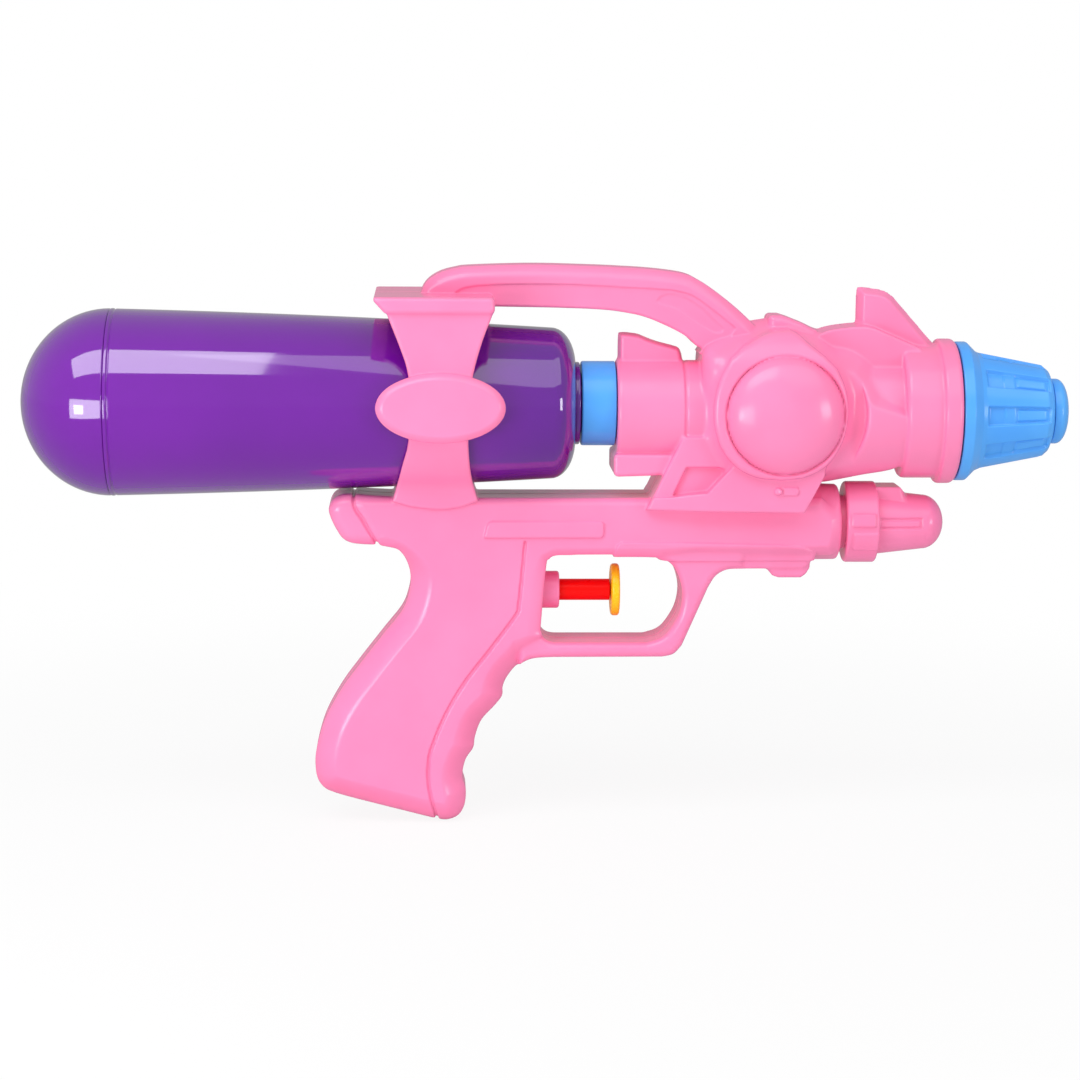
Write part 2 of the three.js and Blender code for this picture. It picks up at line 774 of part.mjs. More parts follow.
function handleForm(inset) {
  return roundedSlab(handleOutline(), handleHalfWidth, handleRounding, inset);
}

function bracketForm(inset) {
  const outline = placeShares(bracketShares, bracketBox);
  const plate = slab(outline, bracketHalfWidth - inset, wall / 2, inset, 1);
  if (inset > 0) return plate;
  const recess = placeShares(bracketWindowShares, bracketBox);
  const side = slab(recess, windowDepth).translate([0, bracketHalfWidth, 0]);
  return cutAll(plate, [side, side.translate([0, -2 * bracketHalfWidth, 0])]);
}

// Room for the hoses where they leave the frame for the sleeve and the housing
function hoseDuct() {
  const x0 = sleeveNeckX - wall;
  return block(x0, housingX + wall, -ductHalfWidth, ductHalfWidth, lowerAxisZ, barrelAxisZ);
}

// Room for the valve chimneys between the grip and the frame
function pumpWell() {
  const x0 = pumpRearX - clearance;
  return block(x0, glandRearX, -ductHalfWidth, ductHalfWidth, pumpAxisZ, lowerAxisZ);
}

function hollowForms(inset) {
  return union([
    gripForm(inset),
    lowerBarrelForm(inset),
    sleeveForm(inset),
    housingForm(inset),
    coneForm(inset),
    handleForm(inset),
    bracketForm(inset),
  ]);
}

// Forms of the shell that stay solid: bars, fins and raised panels

function guardForm() {
  return slab(guardOutline(), guardHalfWidth, guardRounding);
}

function skirtForm() {
  const x0 = sleeveRearX - overrun;
  const z0 = barrelAxisZ - skirtDrop;
  const outline = [
    [x0, barrelAxisZ],
    [x0, z0 + wall],
    [x0 + wall, z0],
    [x0 + skirtLength, z0],
    [x0 + skirtLength, barrelAxisZ],
  ];
  return slab(outline, skirtHalfWidth, wall / 2);
}

function stripForm() {
  const top = frameBottom + stripHeight;
  const outline = [
    [stripRearX, frameBottom],
    [frameFrontX - wall, frameBottom],
    [frameFrontX - stripHeight, frameBottom + stripHeight / 2],
    [frameFrontX - 2 * stripHeight, top - stripRelief],
    [stripRearX, top],
  ];
  return slab(outline, frameHalfWidth + stripRelief, stripRelief, 0, 1);
}

function panelForm() {
  const box = panelBox;
  const outline = [
    [box.x, box.z],
    [box.x + box.length, box.z],
    [box.x + box.length, box.z + box.height],
    [box.x + wall, box.z + box.height],
  ];
  return slab(outline, frameHalfWidth + panelRelief, panelRelief / 2, 0, 1);
}

function saddleForm() {
  const x0 = housingX - saddleLength / 4;
  const top = barrelAxisZ + saddleRise;
  const foot = barrelAxisZ + housingRadius / 2;
  const outline = [
    [x0 - wall, foot],
    [x0, top],
    [x0 + saddleLength, top],
    [x0 + saddleLength + wall, foot],
  ];
  return slab(outline, saddleHalfWidth, wall, 0, 1);
}

function solidForms() {
  return union([
    guardForm(),
    skirtForm(),
    stripForm(),
    panelForm(),
    saddleForm(),
    slab(placeShares(fairingShares, fairingBox), fairingHalfWidth, wall, 0, 1),
    slab(placeShares(frontFinShares, finBox), finHalfWidth, wall / 4, 0, 1),
    slab(placeShares(sleeveFinShares, sleeveFinBox), sleeveFinHalfWidth, wall / 4, 0, 1),
    slab(placeShares(underBlockShares, underBlockBox), underBlockHalfWidth, wall / 2, 0, 1),
  ]);
}

// Strap: an hourglass seen from the side, wrapped round the tank seen from behind

function strapSection(halfWidth, radius, footHalfWidth, top) {
  const points = [];
  const steps = 6;
  const footAngle = Math.asin(footHalfWidth / radius);
  for (let i = 0; i <= steps; i += 1) {
    const turn = Math.PI / 2 - (Math.PI / 2 - footAngle) * (i / steps);
    points.push([radius * Math.sin(turn), tankAxisZ - radius * Math.cos(turn)]);
  }
  const side = [[halfWidth, top], ...points, [footHalfWidth, strapBox.z]];
  return [...side, ...side.map(([y, z]) => [-y, z]).reverse()];
}

function extrudedAlong(points, x0, x1) {
  const shape = new THREE.Shape(points.map(([y, z]) => new THREE.Vector2(y, z)));
  const geometry = new THREE.ExtrudeGeometry(shape, { depth: x1 - x0, steps: 1, bevelEnabled: false });
  geometry.rotateX(Math.PI / 2);
  geometry.rotateZ(Math.PI / 2);
  geometry.translate(x0, 0, 0);
  return solidOf(geometry);
}

function ovalForm() {
  const points = [];
  for (let i = 0; i < roundSides; i += 1) {
    const turn = (2 * Math.PI * i) / roundSides;
    const z = tankAxisZ + ovalRise + ovalHalfHeight * Math.sin(turn);
    points.push([strapX + ovalHalfLength * Math.cos(turn), z]);
  }
  return slab(points, ovalHalfWidth, wall / 2, 0, 1);
}

function lipForm() {
  const tipX = strapRearX - (lipTopLength - strapLength) / 2;
  const outline = [
    [tipX, lipTopZ],
    [tipX, lipTopZ - wall / 2],
    [strapRearX, lipBottomZ],
    [strapRearX + strapLength, lipBottomZ],
    [strapRearX + strapLength, lipTopZ],
  ];
  return slab(outline, lipHalfWidth, wall / 4, 0, 1);
}

function strapForm() {
  const waist = [
    ...smooth(placeShares(strapRearShares, strapBox)),
    ...smooth(placeShares(strapFrontShares, strapBox)),
  ];
  const x0 = strapRearX - ovalHalfLength;
  const x1 = strapRearX + strapLength + ovalHalfLength;
  const section = (inset, top) =>
    strapSection(strapHalfWidth - inset, strapRadius - inset, strapFootHalfWidth - inset, top);
  const hourglass = slab(waist, lipHalfWidth + wall);
  const outer = extrudedAlong(section(0, lipTopZ - wall), x0, x1);
  const inside = extrudedAlong(section(strapWall, lipBottomZ), x0, x1);
  const room = block(x0, x1, -lipHalfWidth, lipHalfWidth, tankAxisZ, lipBottomZ);
  return union([outer.intersect(hourglass), lipForm(), ovalForm()]).subtract(inside.intersect(room));
}

// The space that the tank needs, from behind its dome to the collar
function tankRoom() {
  const taper = tankTaper(2 * clearance);
  return turned(
    [
      [0, tankSeamX - tankDomeLength],
      [taper[0][0], tankSeamX - tankDomeLength],
      ...taper,
      [tankFrontRadius + 2 * clearance, neckRearX],
      [0, neckRearX],
    ],
    tankAxisZ,
  );
}

// Screw places: [x, z], each in a hollow of the shell
const screwPlaces = [
  ...placeShares(gripScrewShares, gripBox),
  ...placeShares(knobScrewShares, knobBox),
  [underBlockBox.x + bossRadius - overrun, frameBottom + overrun],
  [frameFrontX - wall, lowerAxisZ],
  ...placeShares(handleScrewShares, handleBox),
  [housingX + housingRadius + bossRadius, barrelAxisZ - coneFrontRadius + bossRadius + 2 * wall],
];

const bossesIn = (y0, y1) => screwPlaces.map(([x, z]) => rodAcross(bossRadius, y0, y1, x, z));

// Bulkheads that carry the pump, the collar and the nozzle tube
function bulkheads() {
  const deep = bracketHalfWidth;
  const cradle = (x, z, radius) => block(x, x + wall, -deep, deep, z - radius - wall, z + radius + wall);
  const pumpRib = (x) => cradle(x, pumpAxisZ, pumpRadius);
  return union([
    pumpRib(rearRibX),
    pumpRib(frontRibX),
    rodAlong(coneFrontRadius, ringOneX - 2 * wall, ringOneX - wall, barrelAxisZ),
  ]);
}

function shellCuts() {
  const wellX = glandRearX + glandFlangeLength + 2 * clearance;
  const socketX = lowerBarrelFrontX - capSpigotLength - wall;
  return [
    slab(openingOutline(), 2 * guardHalfWidth),
    tankRoom(),
    rodAlong(collarRadius + clearance, collarRearX, sleeveRearX, tankAxisZ),
    rodAlong(collarGrooveRadius + clearance, collarRearX, sleeveRearX + wall + overrun, tankAxisZ),
    rodAlong(glandRadius + clearance, openingRearX - 2 * wall, glandFrontX, pumpAxisZ, barrelSides),
    rodAlong(pumpRadius + clearance, pumpRearX - clearance, wellX, pumpAxisZ),
    rodAlong(nozzleTubeRadius + clearance, nozzleTubeRearX, ringOneX, barrelAxisZ, smallSides),
    rodAlong(nozzleJournalRadius + clearance, nozzleLipX, barrelFrontX + overrun, barrelAxisZ),
    rodAlong(capSpigotRadius + clearance, socketX, lowerBarrelFrontX + overrun, lowerAxisZ),
  ];
}

function shellHalves() {
  const outside = union([hollowForms(0), solidForms(), strapForm()]);
  const hollow = union([hollowForms(wall), hoseDuct(), pumpWell()]);
  const walls = outside.subtract(hollow).add(bulkheads().intersect(outside));
  const far = 4 * lipHalfWidth;
  const half = (y0, y1, pilotY0, pilotY1) => {
    const bosses = union(bossesIn(y0, y1)).intersect(outside);
    const side = block(-far * 2, far * 2, y0, y1, -far, far * 2);
    const holes = screwPlaces.map(([x, z]) => rodAcross(pilotRadius, pilotY0, pilotY1, x, z));
    return cutAll(walls.add(bosses).intersect(side), [...shellCuts(), ...holes]);
  };
  const seats = screwPlaces.map(([x, z]) => rodAcross(counterboreRadius, screwSeatY, far, x, z));
  return {
    left: half(-far, 0, screwTipY - clearance, overrun),
    right: cutAll(half(0, far, -overrun, screwSeatY + overrun), seats),
  };
}

// Tank

function tankBody() {
  const lapRadius = tankSeamRadius - tankWall - clearance;
  const outerFront = quarter(tankFrontRadius, tankShoulderX, neckRingRadius, neckRearX, 4, true);
  const innerRadius = tankFrontRadius - tankWall;
  const innerFront = quarter(neckBore, neckRearX - tankWall, innerRadius, tankShoulderX, 2, false);
  const outer = [
    [lapRadius, tankSeamX - tankLap],
    [lapRadius, tankSeamX],
    ...tankTaper(0),
    ...outerFront.slice(1),
    [neckRingRadius, neckRearX + neckRingLength],
    [neckRadius, neckRearX + neckRingLength],
    [neckRadius, neckFrontX],
    [neckBore, neckFrontX],
  ];
  const lapShare = tankLap / tankTaperLength;
  const inner = [
    ...innerFront,
    [tankRadiusAt(1 / 2) - tankWall, tankSeamX + tankTaperLength / 2],
    [tankRadiusAt(lapShare) - tankWall, tankSeamX + tankLap],
    [lapRadius - tankWall, tankSeamX + tankLap / 2],
    [lapRadius - tankWall, tankSeamX - tankLap],
  ];
  return turned([...outer, ...inner, outer[0]], tankAxisZ, roundSides);
}

function tankEndDome() {
  const outer = quarter(0, tankSeamX - tankDomeLength, tankSeamRadius, tankSeamX - clearance, 6, false);
  const innerRadius = tankSeamRadius - tankWall;
  const innerTipX = tankSeamX - tankDomeLength + tankWall;
  const inner = quarter(innerRadius, tankSeamX - tankLap - clearance, 0, innerTipX, 3, true);
  return turned([...outer, [innerRadius, tankSeamX - clearance], ...inner], tankAxisZ, roundSides);
}

function tankCollar() {
  const bore = neckRadius + clearance;
  const floorX = neckFrontX + clearance + washerThickness + clearance;
  const barbX = floorX + collarFloor;
  return turned(
    [
      [bore, collarRearX],
      [collarRadius, collarRearX],
      [collarRadius, sleeveRearX - clearance],
      [collarGrooveRadius, sleeveRearX - clearance],
      [collarGrooveRadius, sleeveRearX + wall + clearance],
      [collarFlangeRadius, sleeveRearX + wall + clearance],
      [collarFlangeRadius, collarFrontX],
      [barbRadius, collarFrontX],
      [barbRadius, barbX + barbLength],
      [barbBore, barbX + barbLength],
      [barbBore, floorX],
      [bore, floorX],
      [bore, collarRearX],
    ],
    tankAxisZ,
    barrelSides,
  );
}

function tankWasher() {
  const x0 = neckFrontX + clearance;
  return band(neckBore, neckRadius - clearance, x0, x0 + washerThickness, tankAxisZ);
}

// Nozzle

function nozzleCone() {
  const body = turned(
    [
      [nozzleBore, nozzleLipX],
      [nozzleLipRadius, nozzleLipX],
      [nozzleLipRadius, nozzleLipX + nozzleLipLength],
      [nozzleJournalRadius, nozzleLipX + nozzleLipLength],
      [nozzleJournalRadius, nozzleRearX],
      [nozzleFlangeRadius, nozzleRearX],
      [nozzleFlangeRadius, nozzleRearX + nozzleFlangeLength],
      [nozzleConeRearRadius, nozzleConeX],
      [nozzleConeFrontRadius, nozzleConeX + nozzleConeLength],
      [nozzleTipRadius, nozzleFrontX],
      [nozzleTipSpigotRadius + clearance, nozzleFrontX],
      [nozzleTipSpigotRadius + clearance, nozzleBoreX],
      [nozzleBore, nozzleBoreX - sealThickness],
      [nozzleBore, nozzleLipX],
    ],
    barrelAxisZ,
  );
  const ribs = Array.from({ length: nozzleRibs }, (_, i) => nozzleRib(i));
  return union([body, ...ribs]);
}

// One long rib: a wedge of a slightly wider cone, kept to its share of the turn.
function nozzleRib(index) {
  const half = THREE.MathUtils.degToRad(nozzleRibWidthDegrees / 2);
  const middle = (2 * Math.PI * (index + 1 / 2)) / nozzleRibs;
  const inside = nozzleConeFrontRadius - nozzleRibRise;
  const points = [
    new THREE.Vector2(inside, nozzleConeX),
    new THREE.Vector2(nozzleConeRearRadius + nozzleRibRise, nozzleConeX),
    new THREE.Vector2(nozzleConeFrontRadius + nozzleRibRise, nozzleConeX + nozzleConeLength),
    new THREE.Vector2(inside, nozzleConeX + nozzleConeLength),
  ];
  const shape = new THREE.Shape(points);
  const width = 2 * Math.tan(half) * nozzleConeRearRadius;
  const geometry = new THREE.ExtrudeGeometry(shape, { depth: width, steps: 1, bevelEnabled: false });
  geometry.translate(0, 0, -width / 2);
  geometry.rotateZ(-Math.PI / 2);
  geometry.rotateX(Math.PI / 2 - middle);
  geometry.translate(0, 0, barrelAxisZ);
  return solidOf(geometry);
}

function nozzleTip() {
  const x0 = nozzleFrontX + clearance;
  const spigotX = nozzleFrontX - nozzleTipSpigotLength;
  const noseX = x0 + nozzleTipLength / 3;
  const nose = quarter(nozzleTipRadius, noseX, jetRadius, x0 + nozzleTipLength, 4, true);
  return turned(
    [
      [jetRadius, spigotX],
      [nozzleTipSpigotRadius, spigotX],
      [nozzleTipSpigotRadius, x0],
      [nozzleTipRadius, x0],
      ...nose,
      [jetRadius, spigotX],
    ],
    barrelAxisZ,
    barrelSides,
  );
}

function nozzleTube() {
  const endX = nozzleBoreX - sealThickness;
  return turned(
    [
      [barbBore, nozzleTubeRearX - barbLength],
      [barbRadius, nozzleTubeRearX - barbLength],
      [barbRadius, nozzleTubeRearX],
      [nozzleTubeRadius, nozzleTubeRearX],
      [nozzleTubeRadius, tubeFlangeX],
      [tubeFlangeRadius, tubeFlangeX],
      [tubeFlangeRadius, tubeFlangeX + tubeFlangeLength],
      [nozzleTubeRadius, tubeFlangeX + tubeFlangeLength],
      [nozzleTubeRadius, endX],
      [barbBore, endX],
      [barbBore, nozzleTubeRearX - barbLength],
    ],
    barrelAxisZ,
    smallSides,
  );
}

function nozzleSeal() {
  const x1 = nozzleBoreX - sealThickness - clearance;
  const inner = nozzleTubeRadius + clearance;
  return band(inner, nozzleBore - clearance, x1 - sealThickness, x1, barrelAxisZ);
}

// Lower front cap, with a top boss, a side bar and pads on its band

function lowerFrontCap() {
  const bandEnd = capRearX + capBandLength;
  const coneEnd = bandEnd + capConeLength;
  const nose = quarter(capTipRadius, coneEnd, 0, coneEnd + capNoseLength, 4, true);
  const body = turned(
    [
      [0, lowerBarrelFrontX - capSpigotLength],
      [capSpigotRadius, lowerBarrelFrontX - capSpigotLength],
      [capSpigotRadius, capRearX],
      [capBandRadius, capRearX],
      [capBandRadius, bandEnd],
      [capConeRadius, bandEnd],
      ...nose,
    ],
    lowerAxisZ,
    barrelSides,
  );
  const outline = [
    [bandEnd - overrun, lowerAxisZ],
    [bandEnd - overrun, lowerAxisZ + capBossHeight],
    [bandEnd + capBossLength - overrun, lowerAxisZ + capBossHeight],
    [bandEnd + capBossLength, lowerAxisZ + capBossHeight - wall],
    [bandEnd + capBossLength, lowerAxisZ],
  ];
  const boss = slab(outline, capBossWidth / 2, wall / 4, 0, 1);
  const acrossBar = (x0, x1, halfWidth, z) => block(x0, x1, -halfWidth, halfWidth, z - wall, z + wall);
  const bar = acrossBar(bandEnd - overrun, coneEnd - overrun, capConeRadius, lowerAxisZ);
  const padHalfWidth = capBandRadius + capPadRise;
  const pads = [-1, 1].map((side) =>
    acrossBar(capRearX + wall, bandEnd - wall, padHalfWidth, lowerAxisZ + side * 2 * wall));
  return union([body, boss, bar, ...pads]);
}

// Pump and trigger

function pumpCylinder() {
  const barrel = turned(
    [
      [0, pumpRearX],
      [pumpRadius, pumpRearX],
      [pumpRadius, pumpFrontX],
      [pumpBore, pumpFrontX],
      [pumpBore, pumpRearX + wall],
      [0, pumpRearX + wall],
    ],
    pumpAxisZ,
    barrelSides,
  );
  const footZ = pumpAxisZ + pumpBore + clearance;
  const openZ = chimneyTopZ + overrun;
  const column = (x, radius, z0, z1) => turnedUp([[0, z0], [radius, z0], [radius, z1], [0, z1]], x);
  const chimney = (x) => column(x, chimneyRadius, footZ, chimneyTopZ);
  const bore = (x) => column(x, portRadius, pumpAxisZ, openZ).add(column(x, chimneyBore, portTopZ, openZ));
  return cutAll(union([barrel, chimney(inletX), chimney(outletX)]), [bore(inletX), bore(outletX)]);
}

function pumpGland() {
  const bore = rodRadius + clearance;
  return turned(
    [
      [bore, glandRearX],
      [glandFlangeRadius, glandRearX],
      [glandFlangeRadius, glandRearX + glandFlangeLength],
      [glandRadius, glandRearX + glandFlangeLength],
      [glandRadius, glandFrontX],
      [bore, glandFrontX],
      [bore, glandRearX],
    ],
    pumpAxisZ,
    barrelSides,
  );
}

function triggerRod() {
  const grooveX = pistonFrontX + clearance;
  return turned(
    [
      [0, pistonRearX - overrun],
      [rodPegRadius, pistonRearX - overrun],
      [rodPegRadius, grooveX],
      [rodRadius, grooveX],
      [rodRadius, discRearX - clearance],
      [rodPegRadius, discRearX - clearance],
      [rodPegRadius, rodFrontX],
      [0, rodFrontX],
    ],
    pumpAxisZ,
    innerSides,
  );
}

function triggerDisc() {
  const frontX = discRearX + discThickness;
  const bore = rodPegRadius + clearance;
  return turned(
    [
      [bore, discRearX],
      [discRadius - discRounding, discRearX],
      [discRadius, discRearX + discRounding],
      [discRadius, frontX - discRounding],
      [discRadius - discRounding, frontX],
      [0, frontX],
      [0, rodFrontX + clearance],
      [bore, rodFrontX + clearance],
      [bore, discRearX],
    ],
    pumpAxisZ,
    barrelSides,
  );
}

function piston() {
  const outer = pumpBore - clearance;
  const groove = outer - pistonGroove;
  const bore = rodPegRadius + clearance;
  return turned(
    [
      [bore, pistonRearX],
      [outer, pistonRearX],
      [outer, pistonRearX + pistonLand],
      [groove, pistonRearX + pistonLand],
      [groove, pistonFrontX - pistonLand],
      [outer, pistonFrontX - pistonLand],
      [outer, pistonFrontX],
      [bore, pistonFrontX],
      [bore, pistonRearX],
    ],
    pumpAxisZ,
    barrelSides,
  );
}

function pistonRing() {
  const x0 = pistonRearX + pistonLand + clearance;
  const x1 = pistonFrontX - pistonLand - clearance;
  return band(pumpBore - pistonGroove, pumpBore - clearance / 2, x0, x1, pumpAxisZ);
}

function returnSpring() {
  const x0 = pumpRearX + wall + clearance + returnSpringWire / 2;
  const x1 = pistonRearX - clearance - returnSpringWire / 2;
  const radius = pumpBore - clearance - returnSpringWire;
  const geometry = coil(radius, returnSpringWire, returnSpringTurns, x1 - x0);
  geometry.rotateY(Math.PI / 2);
  geometry.translate(x0, 0, pumpAxisZ);
  return geometry;
}

// Valves: the inlet ball seals upwards against its cap, the outlet ball down on its port

function valveBall(x, z) {
  const geometry = new THREE.SphereGeometry(ballRadius, smallSides, smallSides / 2);
  geometry.rotateX(Math.PI / 2);
  geometry.translate(x, 0, z);
  return solidOf(geometry);
}

function valveSpring(x, z0, z1) {
  const end = clearance / 2 + valveSpringWire / 2;
  const radius = chimneyBore - clearance - valveSpringWire;
  const geometry = coil(radius, valveSpringWire, valveSpringTurns, z1 - z0 - 2 * end);
  geometry.translate(x, 0, z0 + end);
  return geometry;
}

function hoseCap(x, barbZ) {
  const flangeZ = chimneyTopZ + clearance;
  const body = turnedUp(
    [
      [0, hoseCapPlugZ],
      [chimneyBore - clearance, hoseCapPlugZ],
      [chimneyBore - clearance, flangeZ],
      [chimneyRadius, flangeZ],
      [chimneyRadius, flangeZ + hoseCapFlange],
      [hoseCapRadius, flangeZ + hoseCapFlange],
      [hoseCapRadius, barbZ + hoseCapRadius],
      [0, barbZ + hoseCapRadius],
    ],
    x,
  );
  const barb = rodAlong(barbRadius, x, x + hoseCapRadius + barbLength, barbZ, smallSides);
  const boreZ = hoseCapPlugZ - overrun;
  const upBore = turnedUp([[0, boreZ], [barbBore, boreZ], [barbBore, barbZ], [0, barbZ]], x);
  const sideBore = rodAlong(barbBore, x, x + hoseCapRadius + barbLength + overrun, barbZ, smallSides);
  return cutAll(body.add(barb), [upBore, sideBore]);
}

// The hoses: each slides over its two barbs, and both run through the frame

function suctionHose() {
  const startX = collarFrontX + clearance;
  const endX = inletX + hoseCapRadius + clearance;
  const drop = tankAxisZ - suctionZ;
  const turnX = startX + 2 * barbLength;
  const bend = suctionBendShares.map(([along, down]) => [turnX + along * drop, 0, tankAxisZ - down * drop]);
  return hose([
    [startX, 0, tankAxisZ],
    [startX + barbLength, 0, tankAxisZ],
    ...bend,
    [(turnX + endX) / 2, 0, suctionZ],
    [endX + barbLength, 0, suctionZ],
    [endX, 0, suctionZ],
  ]);
}

function deliveryHose() {
  const startX = outletX + hoseCapRadius + clearance;
  const endX = nozzleTubeRearX - clearance;
  const rise = barrelAxisZ - deliveryZ;
  const bend = deliveryBendShares.map(([along, up]) => [housingX + along * rise, 0, deliveryZ + up * rise]);
  return hose([
    [startX, 0, deliveryZ],
    [startX + barbLength, 0, deliveryZ],
    [(startX + housingX) / 2, 0, deliveryZ],
    ...bend,
    [endX - barbLength, 0, barrelAxisZ],
    [endX, 0, barrelAxisZ],
  ]);
}

// Screws

function caseScrew(x, z) {
  const seat = screwSeatY + clearance;
  return turnedAcross(
    [
      [0, screwTipY],
      [screwRadius / 2, screwTipY],
      [screwRadius, screwTipY + screwRadius],
      [screwRadius, seat],
      [screwHeadRadius, seat],
      [screwHeadRadius, seat + screwHeadHeight / 2],
      [screwHeadRadius / 2, seat + screwHeadHeight],
      [0, seat + screwHeadHeight],
    ],
    x,
    z,
    smallSides,
  );
}

// Finishes

function finish(color, roughness, metalness = 0) {
  return () => new THREE.MeshStandardMaterial({ color, roughness, metalness });
}

const pinkPlastic = finish(0xfe8ebc, 0.3);
const purplePlastic = finish(0x6a2ca8, 0.12);
const bluePlastic = finish(0x4f9cf5, 0.25);
const redPlastic = finish(0xf80804, 0.25);
const yellowPlastic = finish(0xfdc828, 0.25);
const whitePlastic = finish(0xe9e9e6, 0.4);
const softHose = finish(0xd8dde0, 0.5);
const darkRubber = finish(0x222222, 0.8);
const steel = finish(0xb8bcc2, 0.3, 1);

// Assembly

const squirter = new THREE.Group();

function addPiece(name, piece, material) {
  const geometry = piece.isBufferGeometry ? piece : geometryOf(piece);
  const mesh = new THREE.Mesh(geometry, material());
  mesh.name = name;
  squirter.add(mesh);
}

const shells = shellHalves();
addPiece("left_shell", shells.left, pinkPlastic);
addPiece("right_shell", shells.right, pinkPlastic);
addPiece("tank_body", tankBody(), purplePlastic);
addPiece("tank_end_dome", tankEndDome(), purplePlastic);
addPiece("tank_washer", tankWasher(), darkRubber);
addPiece("tank_collar", tankCollar(), bluePlastic);
addPiece("nozzle_cone", nozzleCone(), bluePlastic);
addPiece("nozzle_tip", nozzleTip(), bluePlastic);
addPiece("nozzle_tube", nozzleTube(), whitePlastic);
addPiece("nozzle_seal", nozzleSeal(), darkRubber);
addPiece("lower_front_cap", lowerFrontCap(), pinkPlastic);
addPiece("pump_gland", pumpGland(), pinkPlastic);
addPiece("trigger_rod", triggerRod(), redPlastic);
addPiece("trigger_disc", triggerDisc(), yellowPlastic);
addPiece("piston", piston(), whitePlastic);
addPiece("piston_ring", pistonRing(), darkRubber);
addPiece("pump_cylinder", pumpCylinder(), whitePlastic);
addPiece("return_spring", returnSpring(), steel);
addPiece("inlet_ball", valveBall(inletX, inletBallZ), steel);
addPiece("outlet_ball", valveBall(outletX, outletBallZ), steel);
addPiece("inlet_spring", valveSpring(inletX, portTopZ, inletBallZ - ballRadius), steel);
addPiece("outlet_spring", valveSpring(outletX, outletBallZ + ballRadius, hoseCapPlugZ), steel);
addPiece("inlet_cap", hoseCap(inletX, suctionZ), whitePlastic);
addPiece("outlet_cap", hoseCap(outletX, deliveryZ), whitePlastic);
addPiece("suction_hose", suctionHose(), softHose);
addPiece("delivery_hose", deliveryHose(), softHose);
screwPlaces.forEach(([x, z], i) => addPiece(`case_screw_${i + 1}`, caseScrew(x, z), steel));

export default squirter;
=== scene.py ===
"""The water squirter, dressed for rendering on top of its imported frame.

Sizes in the tables below are in millimetres: X runs forwards to the nozzle, Z is up, and
the two pink halves meet at Y = 0. Meshes are written in metres.
"""

import math

import bmesh
import bpy
import numpy as np
from mathutils import Matrix, Vector


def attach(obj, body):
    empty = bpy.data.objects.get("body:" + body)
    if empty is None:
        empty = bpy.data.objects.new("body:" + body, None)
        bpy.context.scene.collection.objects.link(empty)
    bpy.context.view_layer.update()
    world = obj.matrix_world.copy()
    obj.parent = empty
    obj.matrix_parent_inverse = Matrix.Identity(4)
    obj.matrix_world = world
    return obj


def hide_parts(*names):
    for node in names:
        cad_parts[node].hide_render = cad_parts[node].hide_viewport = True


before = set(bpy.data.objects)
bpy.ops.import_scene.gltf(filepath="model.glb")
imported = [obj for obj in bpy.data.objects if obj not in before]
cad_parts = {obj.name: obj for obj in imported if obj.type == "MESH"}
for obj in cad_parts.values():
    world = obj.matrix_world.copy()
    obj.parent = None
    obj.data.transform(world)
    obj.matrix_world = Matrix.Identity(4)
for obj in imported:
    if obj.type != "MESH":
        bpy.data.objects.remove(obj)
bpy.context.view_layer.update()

MM = 0.001

# ---------------------------------------------------------------- camera


def place_camera():
    """A long lens a little behind the middle of the left side, looking slightly down."""
    eye = Vector((-39.832, -939.997, 221.357)) * MM
    aim = Vector((-2.078, 0.0, 89.143)) * MM
    lens = bpy.data.cameras.new("camera")
    lens.sensor_width = 36.0
    lens.lens = 99.726
    lens.clip_start = 0.05
    lens.clip_end = 20.0
    camera = bpy.data.objects.new("camera", lens)
    turn = (aim - eye).to_track_quat("-Z", "Y").to_matrix().to_4x4()
    level = Matrix.Rotation(math.radians(0.35), 4, "Z")
    camera.matrix_world = Matrix.Translation(eye) @ turn @ level
    bpy.context.scene.collection.objects.link(camera)
    bpy.context.scene.camera = camera


place_camera()

# ---------------------------------------------------------------- finishes


def both_ways(operation):
    """The operator and its reflected form, for a wire before or after a plain number."""
    return (lambda self, other: self.maths(operation, self, other),
            lambda self, other: self.maths(operation, other, self))


class Wire:
    """One output of a node; sums of wires are written as plain maths."""

    __add__, __radd__ = both_ways("ADD")
    __sub__, __rsub__ = both_ways("SUBTRACT")
    __mul__, __rmul__ = both_ways("MULTIPLY")

    def __init__(self, nodes, socket):
        self.nodes = nodes
        self.socket = socket

    def maths(self, operation, *values):
        return self.nodes.node("ShaderNodeMath", {"operation": operation}, dict(enumerate(values)))

    def size(self):
        """Its distance from zero."""
        return self.maths("ABSOLUTE", self)


